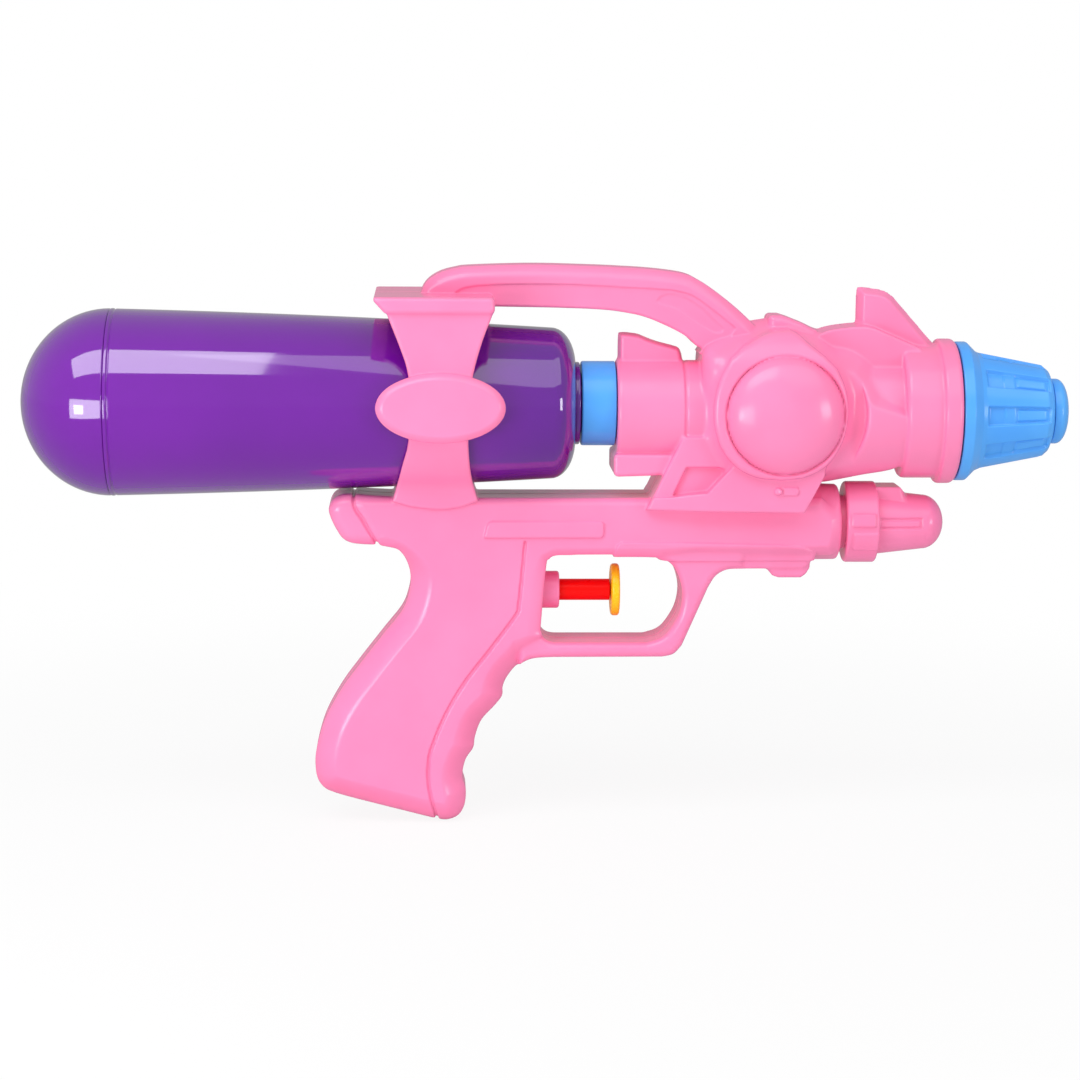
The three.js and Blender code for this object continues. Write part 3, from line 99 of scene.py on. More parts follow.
class Nodes:
    """A node tree under construction, of a finish or of the world."""

    def __init__(self, owner):
        owner.use_nodes = True
        self.tree = owner.node_tree

    def node(self, kind, settings, values, *outputs):
        """Any node: its settings first, then its sockets' values or links. It gives back its
        first output, or the outputs that are named."""
        made = self.tree.nodes.new(kind)
        for key, value in settings.items():
            setattr(made, key, value)
        for key, value in values.items():
            self.feed(made.inputs[key], value)
        wires = [Wire(self, made.outputs[output]) for output in outputs or (0,)]
        return wires if len(wires) > 1 else wires[0]

    def feed(self, socket, value):
        """Links a wire to a socket, or sets the socket to a plain value."""
        if isinstance(value, Wire):
            self.tree.links.new(value.socket, socket)
        else:
            socket.default_value = value

    def chosen(self, share, first, second):
        """The first shader where the share is 0, the second where it is 1."""
        return self.node("ShaderNodeMixShader", {}, {0: share, 1: first, 2: second})

    def backdrop(self, strength):
        """An even white light from all round."""
        return self.node("ShaderNodeBackground", {}, {"Color": (1, 1, 1, 1), "Strength": strength})

    def rays(self):
        """Whether the ray comes from the camera, from a gloss or through something clear."""
        return self.node("ShaderNodeLightPath", {}, {}, "Is Camera Ray", "Is Glossy Ray",
                         "Is Transmission Ray")


class Paint(Nodes):
    """A finish under construction: its nodes, its object coordinates and its shader."""

    def __init__(self, name):
        self.material = bpy.data.materials.new(name)
        super().__init__(self.material)
        self.shader = self.tree.nodes["Principled BSDF"]
        self.places = self.node("ShaderNodeTexCoord", {}, {}, "Object")

    def speckle(self, per_metre, detail=2.0, roughness=0.5):
        """Soft cloudy variation between 0 and 1, with so many lumps in a metre."""
        values = {"Vector": self.places, "Scale": per_metre, "Detail": detail,
                  "Roughness": roughness}
        return self.node("ShaderNodeTexNoise", {}, values)

    def ramp(self, value, low, high):
        """Rises smoothly from 0 to 1 while the value goes from low to high."""
        values = {"Value": value, "From Min": low, "From Max": high}
        settings = {"interpolation_type": "SMOOTHSTEP", "clamp": True}
        return self.node("ShaderNodeMapRange", settings, values)

    def axes(self):
        """The object coordinates X, Y and Z, each on its own."""
        return self.node("ShaderNodeSeparateXYZ", {}, {0: self.places}, 0, 1, 2)

    def blend(self, share, first, second):
        """The first colour where the share is 0, the second where it is 1."""
        settings = {"data_type": "RGBA"}
        return self.node("ShaderNodeMix", settings, {0: share, 6: first, 7: second}, 2)

    def set(self, **values):
        """Fills the shader's sockets; underscores stand for the spaces in their names."""
        for key, value in values.items():
            self.feed(self.shader.inputs[key.replace("_", " ")], value)

    def relief(self, height, depth, strength=1.0):
        """Bump from a 0 to 1 height, so many metres deep."""
        values = {"Height": height, "Distance": depth, "Strength": strength}
        self.feed(self.shader.inputs["Normal"], self.node("ShaderNodeBump", {}, values))


def tint(red, green, blue):
    """A colour written as 0 to 255 screen values, turned into the light values of the shader."""
    shares = np.array([red, green, blue]) / 255.0
    light = np.where(shares <= 0.04045, shares / 12.92, ((shares + 0.055) / 1.055) ** 2.4)
    return (*[float(value) for value in light], 1.0)


def moulded(name, colour, shade, roughness, seam=0.0, ior=1.5):
    """Glossy moulded plastic: slightly cloudy colour, uneven gloss, faint moulding ripple and,
    where asked, a darker hairline along the parting seam at Y = 0: painted shade of its gap."""
    paint = Paint(name)
    cloud = paint.speckle(38.0, 3.0)
    grain = paint.speckle(900.0, 2.0)
    base = paint.blend(paint.ramp(cloud, 0.3, 0.75), colour, shade)
    if seam:
        # Painted shade: the seam's hairline is darkened the way a thin gap in shade would look.
        across = paint.axes()[1].size()
        base = paint.blend(1 - paint.ramp(across, seam * 0.4, seam), base, deeper(shade))
    paint.set(Base_Color=base)
    uneven = (paint.speckle(120.0, 4.0) - 0.5) * 0.12
    paint.set(Roughness=roughness + uneven + (grain - 0.5) * 0.05)
    paint.set(IOR=ior)
    paint.relief(paint.speckle(150.0, 1.0) * 0.8 + grain * 0.2, 0.00006, 0.25)
    return paint.material


def deeper(colour):
    """The colour painted as shade down in a thin gap, where most of its green is lost."""
    return (colour[0] * 0.8, colour[1] * 0.45, colour[2] * 0.6, 1.0)


def tank_plastic():
    """Blown see-through purple: clear gloss over a deep tint that clouds, with painted shade that
    darkens it towards the neck.
    """
    paint = Paint("purple_tank")
    cloud = paint.speckle(22.0, 3.0)
    base = paint.blend(paint.ramp(cloud, 0.25, 0.8), tint(120, 12, 170), tint(112, 9, 161))
    # Painted shade: the colour darkens towards the neck, where less light falls.
    painted_shade_towards_neck = paint.ramp(paint.axes()[0], -0.03, 0.0)
    paint.set(Base_Color=paint.blend(painted_shade_towards_neck * 0.6, base, tint(84, 8, 136)))
    paint.set(Roughness=0.05 + paint.speckle(90.0, 3.0) * 0.04)
    paint.set(IOR=1.55, Transmission_Weight=0.12)
    paint.set(Coat_Weight=1.0, Coat_IOR=1.6, Coat_Roughness=0.03)
    paint.relief(paint.speckle(60.0, 1.0), 0.0002, 0.12)
    return paint.material


def hose_plastic():
    """Soft milky tube with a faint haze."""
    paint = Paint("soft_hose")
    cloud = paint.speckle(200.0, 3.0)
    paint.set(Base_Color=paint.blend(cloud, tint(222, 227, 230), tint(206, 213, 218)))
    paint.set(Roughness=0.42 + cloud * 0.12)
    paint.set(IOR=1.45, Transmission_Weight=0.2)
    paint.relief(paint.speckle(700.0, 2.0), 0.00003, 0.3)
    return paint.material


def rubber():
    """Black moulded rubber: matt, with a fine tooth."""
    paint = Paint("dark_rubber")
    tooth = paint.speckle(2600.0, 3.0)
    paint.set(Base_Color=paint.blend(paint.speckle(300.0), tint(30, 30, 31), tint(42, 41, 41)))
    paint.set(Roughness=0.7 + tooth * 0.2)
    paint.relief(tooth, 0.00004, 0.5)
    return paint.material


def bright_steel():
    """Drawn steel: bright, with fine marks and a little uneven gloss."""
    paint = Paint("steel")
    marks = paint.speckle(3200.0, 3.0)
    cloud = paint.speckle(400.0)
    paint.set(Base_Color=paint.blend(cloud, tint(186, 188, 192), tint(168, 171, 176)))
    paint.set(Roughness=0.22 + marks * 0.16)
    paint.set(Metallic=1.0)
    paint.relief(marks, 0.00002, 0.4)
    return paint.material


FINISHES = {"purple_tank": tank_plastic(), "soft_hose": hose_plastic(),
            "dark_rubber": rubber(), "steel": bright_steel()}
# The pink shell's seam entry is the width of the painted shade along Y = 0.
for finish, colour, shade, roughness, more in (
        ("pink_shell", (255, 139, 187), (255, 133, 181), 0.22, {"seam": 0.00025}),
        ("blue_plastic", (90, 176, 255), (80, 166, 252), 0.22, {}),
        ("red_plastic", (254, 5, 3), (244, 4, 2), 0.3, {"ior": 1.28}),
        ("yellow_plastic", (255, 206, 24), (254, 194, 16), 0.28, {}),
        ("white_plastic", (234, 234, 230), (226, 226, 222), 0.38, {})):
    FINISHES[finish] = moulded(finish, tint(*colour), tint(*shade), roughness, **more)

# ---------------------------------------------------------------- outlines and meshes


def curve_through(points, step=0.7):
    """A smooth line through given points: on each stretch the cubic whose slope at a point
    is half the way from the point before it to the one after it."""
    points = np.asarray(points, float)
    if len(points) < 3:
        return points
    before = np.vstack([2 * points[0] - points[1], points, 2 * points[-1] - points[-2]])
    pieces = []
    for start in range(len(points) - 1):
        p0, p1, p2, p3 = before[start:start + 4]
        count = max(2, int(np.ceil(np.hypot(*(p2 - p1)) / step)))
        t = (np.arange(count) / count)[:, None]
        pieces.append(p1 + 0.5 * t * (p2 - p0 + t * (
            2 * p0 - 5 * p1 + 4 * p2 - p3 + t * (3 * (p1 - p2) + p3 - p0))))
    return np.vstack(pieces + [points[-1:]])


def joined(*runs):
    """A closed outline from runs: a run of three or more points is a smooth curve."""
    return np.vstack([curve_through(run) for run in runs])


def ellipse(x, z, half_length, half_height, count=72):
    """An outline whose places are the centre plus the halves times cosine and sine."""
    turn = np.linspace(0, 2 * np.pi, count, endpoint=False)
    return np.stack([x + half_length * np.cos(turn), z + half_height * np.sin(turn)], 1)


def rounded_profile(corners, steps=5):
    """A path through corners [along, radius, rounding], each corner an arc that touches both
    of its sides, worked out from the half angle between them."""
    corners = np.asarray(corners, float)
    path = [corners[:1, :2]]
    for before, corner, after in zip(corners[:-2], corners[1:-1], corners[2:]):
        to_before, to_after = before[:2] - corner[:2], after[:2] - corner[:2]
        first, second = np.hypot(*to_before), np.hypot(*to_after)
        to_before, to_after = to_before / first, to_after / second
        half = math.acos(np.clip(to_before @ to_after, -1, 1)) / 2
        if corner[2] <= 0 or half > 1.55:
            path.append(corner[None, :2])
            continue
        reach = min(corner[2] / math.tan(half), 0.48 * first, 0.48 * second)
        radius = reach * math.tan(half)
        middle = to_before + to_after
        centre = corner[:2] + middle / np.hypot(*middle) * radius / math.sin(half)
        start = corner[:2] + to_before * reach - centre
        end = corner[:2] + to_after * reach - centre
        sweep = math.atan2(start[0] * end[1] - start[1] * end[0], start @ end)
        t = np.linspace(0, sweep, steps + 1)
        turned = np.stack([start[0] * np.cos(t) - start[1] * np.sin(t),
                           start[0] * np.sin(t) + start[1] * np.cos(t)], 1)
        path.append(centre + turned)
    path.append(corners[-1:, :2])
    return np.vstack(path)


def resampled(path, longest):
    """The same path with its long straight stretches cut into even steps."""
    lengths = np.hypot(*np.diff(path, axis=0).T)
    counts = np.maximum(1, np.ceil(lengths / longest)).astype(int)
    share = np.concatenate([np.arange(count) / count for count in counts] + [[0.0]])
    index = np.append(np.repeat(np.arange(len(counts)), counts), len(counts))
    after = np.minimum(index + 1, len(path) - 1)
    return path[index] + (path[after] - path[index]) * share[:, None]


def smoothed(mesh):
    """Every face of the mesh is shaded smooth."""
    mesh.polygons.foreach_set("use_smooth", np.ones(len(mesh.polygons), bool))


def mesh_from(name, points, faces):
    """A mesh in metres from points in millimetres and an array of equal-sided faces."""
    sides = faces.shape[1]
    mesh = bpy.data.meshes.new(name)
    mesh.vertices.add(len(points))
    mesh.vertices.foreach_set("co", (np.asarray(points, np.float32) * np.float32(MM)).ravel())
    mesh.loops.add(faces.size)
    mesh.loops.foreach_set("vertex_index", faces.astype(np.int32).ravel())
    mesh.polygons.add(len(faces))
    mesh.polygons.foreach_set("loop_start", np.arange(0, faces.size, sides, dtype=np.int32))
    mesh.update(calc_edges=True)
    smoothed(mesh)
    return mesh


def grid_faces(rows, columns, wrap_rows, wrap_columns):
    """Four-sided faces over a grid of points, closed round either way where asked."""
    i = np.arange(rows if wrap_rows else rows - 1)[:, None]
    j = np.arange(columns if wrap_columns else columns - 1)[None, :]
    i2, j2 = (i + 1) % rows, (j + 1) % columns
    corners = [i * columns + j, i2 * columns + j, i2 * columns + j2, i * columns + j2]
    return np.stack([corner.ravel() for corner in np.broadcast_arrays(*corners)], 1)


def add_piece(mesh, body, finish, node, weighted=True):
    """Puts a mesh in the scene as a piece of its name, with its finish, on the body it rides on,
    and hides the node that it stands for."""
    piece = bpy.data.objects.new(mesh.name, mesh)
    bpy.context.scene.collection.objects.link(piece)
    mesh.materials.append(FINISHES[finish])
    if weighted:
        shading = piece.modifiers.new("even_shading", "WEIGHTED_NORMAL")
        shading.keep_sharp = True
    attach(piece, body)
    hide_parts(node)


def closed_up(mesh):
    """Merges the points that fall together on the axis, so that poles are closed."""
    work = bmesh.new()
    work.from_mesh(mesh)
    bmesh.ops.remove_doubles(work, verts=work.verts, dist=1e-7)
    bmesh.ops.dissolve_degenerate(work, edges=work.edges, dist=1e-8)
    bmesh.ops.recalc_face_normals(work, faces=work.faces)
    work.to_mesh(mesh)
    work.free()
    smoothed(mesh)
    return mesh


def turned_mesh(name, corners, axis_z, count=96, longest=4.0, closed=True):
    """A profile [x, radius, rounding] carried round a line along X: each point of the profile
    becomes a circle of its radius."""
    path = rounded_profile(corners)
    if closed:
        path = np.vstack([path, path[:1]])
    path = resampled(path, longest)
    if closed:
        path = path[:-1]
    turn = np.linspace(0, 2 * np.pi, count, endpoint=False)
    x = np.repeat(path[:, :1], count, 1)
    y = -path[:, 1:] * np.sin(turn)
    z = axis_z + path[:, 1:] * np.cos(turn)
    points = np.stack([x, y, z], -1).reshape(-1, 3)
    return closed_up(mesh_from(name, points, grid_faces(len(path), count, closed, True)))


# ---------------------------------------------------------------- levels and skins

# The grid's step, the steps of a turned profile's table, and the furthest that a point of the
# skin is moved at a time.
STEP = 0.52
PROFILE_STEP = 0.25
WIDE_PROFILE_STEP = 0.5
FURTHEST_MOVE = 0.25
CELL_CORNERS = [(i, j, k) for i in (0, 1) for j in (0, 1) for k in (0, 1)]


class Space:
    """An even grid of places, on which a solid is drawn as its level: the distance to its
    surface, below zero inside it."""

    def __init__(self, low, high, step):
        self.step = step
        self.low = np.array(low, np.float32)
        sizes = [int(math.ceil((b - a) / step)) + 1 for a, b in zip(low, high)]
        self.x, self.y, self.z = [
            (a + step * np.arange(size)).astype(np.float32) for a, size in zip(low, sizes)]
        self.side = np.abs(self.y)[None, :, None]

    def flat(self, outline):
        """Signed distance to a closed outline on the grid of X and Z."""
        return outline_level(outline, self.x[:, None], self.z[None, :])

    def plate(self, outline):
        """The same for every Y: an endless bar of the outline's form."""
        return self.flat(outline)[:, None, :]

    def slab(self, flat, half_width, rounding, draft=0.0):
        """A flat level thickened across Y: the corner between face and edge is an arc of the
        rounding, and with draft the edge leans in by that share of the way from Y = 0."""
        a = flat[:, None, :] + (draft * self.side + rounding)
        b = self.side - (half_width - rounding)
        return rounded_corner(a, b) - rounding

    def bevelled(self, flat, half_width, rounding, power):
        """A slab whose edge rounding changes over its outline."""
        rounding = rounding.astype(np.float32)[:, None, :]
        a, b = flat[:, None, :] + rounding, self.side - half_width + rounding
        return rounded_corner(a, b, power) - rounding

    def turned(self, corners, axis_z):
        """A profile [x, radius, rounding] turned about a line along X: the level comes from a
        table of the profile's distances, read at each place's radius."""
        radii = np.arange(0, 60, PROFILE_STEP, dtype=np.float32)
        table = outline_level(rounded_profile(corners), self.x[:, None], radii[None, :])
        radius = np.hypot(self.y[:, None], self.z[None, :] - np.float32(axis_z))
        return looked_up(table, radius / PROFILE_STEP)

    def turned_across(self, corners, x, z):
        """A profile [y, radius, rounding] turned about a line along Y."""
        radii = np.arange(0, 300, WIDE_PROFILE_STEP, dtype=np.float32)
        table = outline_level(rounded_profile(corners), np.abs(self.y)[:, None], radii[None, :])
        radius = np.hypot(self.x[:, None] - np.float32(x), self.z[None, :] - np.float32(z))
        return np.moveaxis(looked_up(table, radius / WIDE_PROFILE_STEP), 0, 1)

    def rod_across(self, x, z, radius):
        """An endless round rod along Y."""
        return (np.hypot(self.x[:, None] - x, self.z[None, :] - z) - radius)[:, None, :]

    def rod_along(self, x0, x1, axis_z, radius):
        """A round rod along X, with flat ends at x0 and x1."""
        round_part = np.hypot(self.y[:, None], self.z[None, :] - np.float32(axis_z)) - radius
        ends = np.abs(self.x - (x0 + x1) / 2) - (x1 - x0) / 2
        return np.maximum(round_part[None, :, :], ends[:, None, None])

    def read(self, level, points):
        """The level at any places, straight-line between the eight grid places around."""
        spot = (points - self.low) / np.float32(self.step)
        size = np.array(level.shape) - 2
        cell = np.clip(np.floor(spot).astype(int), 0, size)
        share = (spot - cell).astype(np.float32)
        total = np.zeros(len(points), np.float32)
        for corner in CELL_CORNERS:
            weight = np.ones(len(points), np.float32)
            for axis, far in enumerate(corner):
                weight *= share[:, axis] if far else 1 - share[:, axis]
            total += weight * level[tuple((cell + corner).T)]
        return total

    def slopes(self, level, points):
        """The direction in which the level rises, of length about one."""
        half = self.step * 0.5
        return np.stack([
            self.read(level, points + offset) - self.read(level, points - offset)
            for offset in np.eye(3, dtype=np.float32) * half], 1) / (2 * half)


def outline_level(outline, first, second):
    """Signed distance to a closed outline at places given by two broadcast arrays: the least
    distance to any of its sides, below zero where a ray crosses an odd number of them."""
    outline = np.asarray(outline, np.float32)
    inside = np.zeros(np.broadcast_shapes(first.shape, second.shape), bool)
    least = np.float32(1e9)
    for (ax, az), (bx, bz) in zip(outline, np.roll(outline, -1, 0)):
        dx, dz = bx - ax, bz - az
        if dx * dx + dz * dz < 1e-10:
            continue
        least = np.minimum(least, squared_distance(first - ax, second - az, dx, dz))
        if dz != 0:
            inside ^= ((second >= az) != (second >= bz)) & (first - ax < dx * (second - az) / dz)
    return np.where(inside, -1, 1).astype(np.float32) * np.sqrt(least)


def squared_distance(u, w, dx, dz):
    """From places (u, w), measured from a side's start, to the side that runs by (dx, dz)."""
    share = np.clip((u * dx + w * dz) / (dx * dx + dz * dz), 0, 1)
    return (u - share * dx) ** 2 + (w - share * dz) ** 2


def line_level(points, first, second):
    """Distance to an open line through points."""
    points = np.asarray(points, np.float32)
    least = np.float32(1e9)
    for (ax, az), (bx, bz) in zip(points[:-1], points[1:]):
        least = np.minimum(least, squared_distance(first - ax, second - az, bx - ax, bz - az))
    return np.sqrt(least)


def looked_up(table, places):
    """Each row of a table read at fractional columns, for every place of a flat array."""
    low = np.clip(places.astype(np.int32), 0, table.shape[1] - 2)
    share = np.clip(places - low, 0, 1).astype(np.float32)
    return table[:, low] * (1 - share) + table[:, low + 1] * share


def rounded_corner(a, b, power=2.0):
    """Inside both: the distance to the corner of two levels, as an arc round their meeting; a
    power below 2 makes the corner flatter in its middle, with tighter bends at its ends."""
    past_a, past_b = np.maximum(a, 0), np.maximum(b, 0)
    if power == 2.0:
        out = np.hypot(past_a, past_b)
    else:
        out = (past_a ** power + past_b ** power) ** (1 / power)
    return np.minimum(np.maximum(a, b), 0) + out


def softened(outline, rounding):
    """The closed outline with each of its corners turned into an arc."""
    outline = np.asarray(outline, float)
    wrapped = np.vstack([outline[-1:], outline, outline[:1]])
    return rounded_profile(np.insert(wrapped, 2, rounding, axis=1))[1:-1]


def merged(a, b, fillet):
    """Both solids, with the crease between them filled: where the levels differ by less than
    the fillet, a square-law share of it is taken off."""
    near = np.maximum(fillet - np.abs(a - b), 0) / fillet
    return np.minimum(a, b) - near * near * fillet * 0.25


def carved(a, tool, edge=0.4):
    """The first solid without the second, with the edge broken as merged() fills a crease."""
    return -merged(-a, tool, edge)


def overlaid(level, region, height, edge=0.5):
    """The surface stands out by the height wherever the region's level is below zero."""
    return merged(level, -merged(-(level - height), -region, edge), edge)


def sunk(level, region, depth, edge=0.5):
    """The surface lies deeper by the depth wherever the region's level is below zero."""
    return carved(level, -merged(level + depth, -region, edge), edge)


def skin(space, level):
    """One point in each grid cell that the surface passes through, at the mean of its
    crossings on the cell's edges, and one four-sided face for each grid edge it crosses."""
    inside = level < 0
    cells = tuple(size - 1 for size in level.shape)
    filled = np.zeros(cells, np.int8)
    for i, j, k in CELL_CORNERS:
        filled += inside[i:i + cells[0], j:j + cells[1], k:k + cells[2]]
    place = np.argwhere((filled > 0) & (filled < 8))
    number = np.full(cells, -1, np.int32)
    number[tuple(place.T)] = np.arange(len(place))
    total = np.zeros((len(place), 3), np.float32)
    count = np.zeros((len(place), 1), np.float32)
    for corner in CELL_CORNERS:
        for axis in range(3):
            if corner[axis]:
                continue
            start = place + corner
            end = start.copy()
            end[:, axis] += 1
            a, b = level[tuple(start.T)], level[tuple(end.T)]
            crossed = (a < 0) != (b < 0)
            share = np.where(crossed, a / np.where(crossed, a - b, 1), 0)
            point = start.astype(np.float32)
            point[:, axis] += share
            total += np.where(crossed[:, None], point, 0)
            count += crossed[:, None]
    points = total / count * np.float32(space.step) + space.low
    faces = []
    for axis in range(3):
        second, third = (axis + 1) % 3, (axis + 2) % 3
        ahead = np.moveaxis(inside, axis, 0)
        changed = np.argwhere(np.moveaxis(ahead[1:] != ahead[:-1], 0, axis))
        changed = changed[(changed[:, second] > 0) & (changed[:, third] > 0)]
        changed = changed[(changed[:, second] < cells[second])
                          & (changed[:, third] < cells[third])]
        around = []
        for back_second, back_third in ((1, 1), (0, 1), (0, 0), (1, 0)):
            cell = changed.copy()
            cell[:, second] -= back_second
            cell[:, third] -= back_third
            around.append(number[tuple(cell.T)])
        quad = np.stack(around, 1)
        outward = inside[tuple(changed.T)]
        faces.append(np.where(outward[:, None], quad, quad[:, ::-1]))
    return points, np.vstack(faces)


def skin_mesh(name, space, level, most_triangles):
    """The skin as a mesh, thinned where it is flat, with its points set on the level and its
    shading taken from the level's slope, so that fillets stay smooth."""
    points, faces = skin(space, level)
    mesh = mesh_from(name, points, faces)
    if 2 * len(faces) > most_triangles:
        helper = bpy.data.objects.new(name + "_work", mesh)
        bpy.context.scene.collection.objects.link(helper)
        thin = helper.modifiers.new("thin", "DECIMATE")
        thin.ratio = most_triangles / (2 * len(faces))
        shape = helper.evaluated_get(bpy.context.evaluated_depsgraph_get())
        thinned = bpy.data.meshes.new_from_object(shape)
        bpy.data.objects.remove(helper)
        bpy.data.meshes.remove(mesh)
        mesh = thinned
        mesh.name = name
    place = np.empty(len(mesh.vertices) * 3, np.float32)
    mesh.vertices.foreach_get("co", place)
    place = place.reshape(-1, 3) / np.float32(MM)
    for _ in range(2):
        slope = space.slopes(level, place)
        length = np.maximum((slope ** 2).sum(1), 0.25)
        move = np.clip(space.read(level, place) / length, -FURTHEST_MOVE, FURTHEST_MOVE)
        place -= move[:, None] * slope
    mesh.vertices.foreach_set("co", (place * np.float32(MM)).ravel())
    mesh.update()
    smoothed(mesh)
    slope = space.slopes(level, place)
    slope /= np.maximum(np.hypot.reduce(slope, 1), 1e-6)[:, None]
    mesh.normals_split_custom_set_from_vertices(slope)
    return mesh


# ---------------------------------------------------------------- the pink halves

# The halves are drawn as levels on a grid, not as turned or swept surfaces: the strap, the
# housing, the visor and the handle run into one another with soft creases on every side,
# which no one sweep gives.

BARREL_Z = 130.6
TANK_Z = 132.8
LOWER_Z = 95.2
PUMP_Z = 73.3
DOME_X = 73.1
DOME_Z = 130.9
STRAP_X = -33.9

GRIP = joined(
    [(-50, 100), (-54.4, 92)],
    [(-54.2, 89.9), (-49.9, 89.2), (-47.3, 87.7), (-45.1, 85.2), (-43.6, 81.6), (-43.1, 77.9),
     (-43.6, 73.4), (-45.8, 67.6), (-51.6, 60.2), (-58.9, 50.8), (-65, 42.4), (-70.2, 32.7),
     (-73, 22.6), (-73.2, 16.6), (-72.3, 12.9), (-70.3, 10.4), (-67.6, 9.1), (-64.2, 8)],
    [(-59.1, 6.6), (-37.5, 1)],
    [(-35, 0.4), (-31.5, 0.05), (-28, 1.4), (-26, 4.6), (-25.5, 9.6), (-26.6, 14.5), (-25.6, 19.6),
     (-23.2, 23.4), (-22.6, 27.2), (-20.6, 32.4), (-16.4, 37.1), (-14.1, 40.2), (-13.9, 43.2),
     (-12.7, 46.1), (-10.5, 49.1), (-8.5, 50.9)],
    [(-1.9, 59.8), (8, 66)],
    [(8, 100)],
)
FRAME = joined(
    [(-54.5, 91.2), (-30, 90)],
    [(-10, 85.9)],
    [(80.5, 85.9), (89.4, 86.1)],
    [(91, 88), (91, 98)],
    [(86, 104)],
    [(-60.4, 104), (-60.8, 102.3)],
    [(-57.9, 97.1)],
)
KNOB = joined(
    [(-46, 104), (-56, 104.6), (-61.5, 105), (-65, 104.7), (-67.5, 103.2), (-68.7, 100.4),
     (-68.1, 97.6), (-66.5, 94.2), (-64.4, 91.1), (-61.6, 89.6), (-57.5, 89.1)],
    [(-53.8, 89), (-46, 87.5)],
)
OPENING = joined(
    [(3.2, 85.9), (31, 86), (35.6, 84.9), (39.4, 82.4), (41.7, 77.9), (42.6, 72.6), (41.5, 66.8),
     (38.4, 61.5), (35.6, 59.1), (31.5, 57.8)],
    [(2.6, 57.8), (0.4, 58.3), (-1.2, 59.6), (-2, 61.6), (-2.1, 64), (-0.5, 82.6), (0.2, 84.4),
     (1.4, 85.5), (3.2, 85.9)],
)
GUARD = joined(
    [(-9, 90)],
    [(-9, 50.4), (-7.6, 51.4), (-5.4, 52.4), (-2.6, 52.9), (2, 53.1)],
    [(36.5, 53.2), (40, 54.1), (42.6, 56.8)],
    [(50.8, 75.6), (53.2, 79.2), (57, 81.2), (62, 81.6)],
    [(62, 90)],
)
HANDLE = joined(
    [(-40.2, 165), (-39.6, 168.8), (-37.6, 171.8), (-33.8, 174.2), (-29.1, 175.5), (-24.4, 176.1),
     (-5.4, 176.7), (13.6, 176.3), (23.1, 175.9), (32.6, 175.3), (42.2, 174), (47, 171.9),
     (51.2, 169.2), (56, 165.6), (60.5, 161.8), (66, 156.6)],
    [(67, 150), (47.2, 148.5), (47.2, 150.4)],
    [(45.6, 151.2), (43.1, 153.6), (40.1, 155.5), (35.3, 157.8), (30.6, 159.7), (26, 160.9),
     (17.4, 162.1), (3.3, 162.7), (-16.9, 163)],
    [(-20, 163.4), (-36, 163)],
)
HANDLE_MIDDLE = [(-40, 168), (-20, 170), (20, 169.6), (36, 167), (46, 162.6), (56, 157),
                 (66, 153)]
HANDLE_SIDE = joined(
    [(-31, 166.4), (-28.8, 168.3), (-25, 169.8), (-14.4, 170.6), (4.7, 170.7), (22.3, 169.9),
     (36, 169.2), (40.5, 168.6), (45, 167.2), (50.5, 163.4), (58.5, 157.2)],
    [(52, 149), (40, 140), (-35, 140)],
)
HANDLE_SLOT = joined(
    [(33.6, 165.4), (34.8, 167), (37.6, 167.6), (42, 166.8), (47.4, 163.6), (51.5, 159.8),
     (54.5, 156.6), (51.4, 156), (44.5, 160), (39.9, 163.2), (34.9, 164.6), (33.6, 165.4)],
)
SADDLE = [(68.2, 152), (68.9, 160.4), (69.8, 161.2), (72.8, 161.2), (75.6, 160.3), (79.4, 158.7),
          (83.8, 156.5), (83, 150)]
DRUM = joined(
    [(47.7, 124), (47.7, 147)],
    [(47.8, 149.4), (49.4, 152.2), (53.8, 155), (58.6, 157.2), (64, 159.1), (69.4, 160.2)],
    [(75, 160.2), (79.2, 158.7), (83.6, 156.3), (88, 151.8), (92.6, 146), (96, 139), (97.3, 131.6),
     (96.2, 124.4), (92.6, 117.4), (86.6, 111.4), (79, 107.8), (71, 106.6), (63.4, 107.4),
     (57.6, 109.6), (54, 112.6), (51, 117.2), (48.9, 121)],
)
RING = joined(
    [(71.6, 109.5), (80.2, 110.7), (87.4, 114.9), (92, 122.3), (93.8, 131.2), (92.8, 139.2),
     (90, 146)],
    [(86, 150), (81, 153.8), (77.6, 156.6), (75, 157.8)],
    [(70.4, 157.6), (65.6, 156.2), (59.6, 153.2)],
    [(54.8, 149.2), (51.6, 143), (49.8, 135.6), (49.9, 127.6), (52.4, 119.8), (57.4, 113.8),
     (64, 110.5), (71.6, 109.6)],
)
CHEEK = joined(
    [(70, 154), (84, 155.6), (92, 151.9), (98.9, 147.8), (101.8, 144.6), (106, 141.4),
     (111.5, 138.6), (115, 137)],
    [(115, 116.4), (108, 112.6), (98, 110.6), (86, 107.4)],
    [(70, 108)],
)
BROW = [(40, 157), (84, 156), (92, 152.2), (98.9, 148), (102, 145), (106, 142), (112, 139.4),
        (140, 129), (140, 80), (40, 80)]
FAIRING = joined(
    [(78, 150), (82.5, 154.6), (86.5, 157), (92, 158.1), (98.5, 158.6), (102.4, 157.9)],
    [(117.5, 151.4), (118, 144), (84, 144)],
)
FIN = joined(
    [(96.9, 148), (97, 168.6), (97.6, 169.8), (98.8, 170)],
    [(104, 169.3), (106.6, 168.5), (108.9, 166.9)],
    [(122.4, 151.6), (122.4, 148)],
)
SLEEVE_FIN = joined(
    [(21.9, 143), (22, 154.4), (22.7, 155.3), (24.6, 155.4)],
    [(28.3, 154.9), (33.6, 152.8), (39.6, 151.2), (41.4, 150.4), (42.3, 148.4)],
    [(42.6, 143)],
)
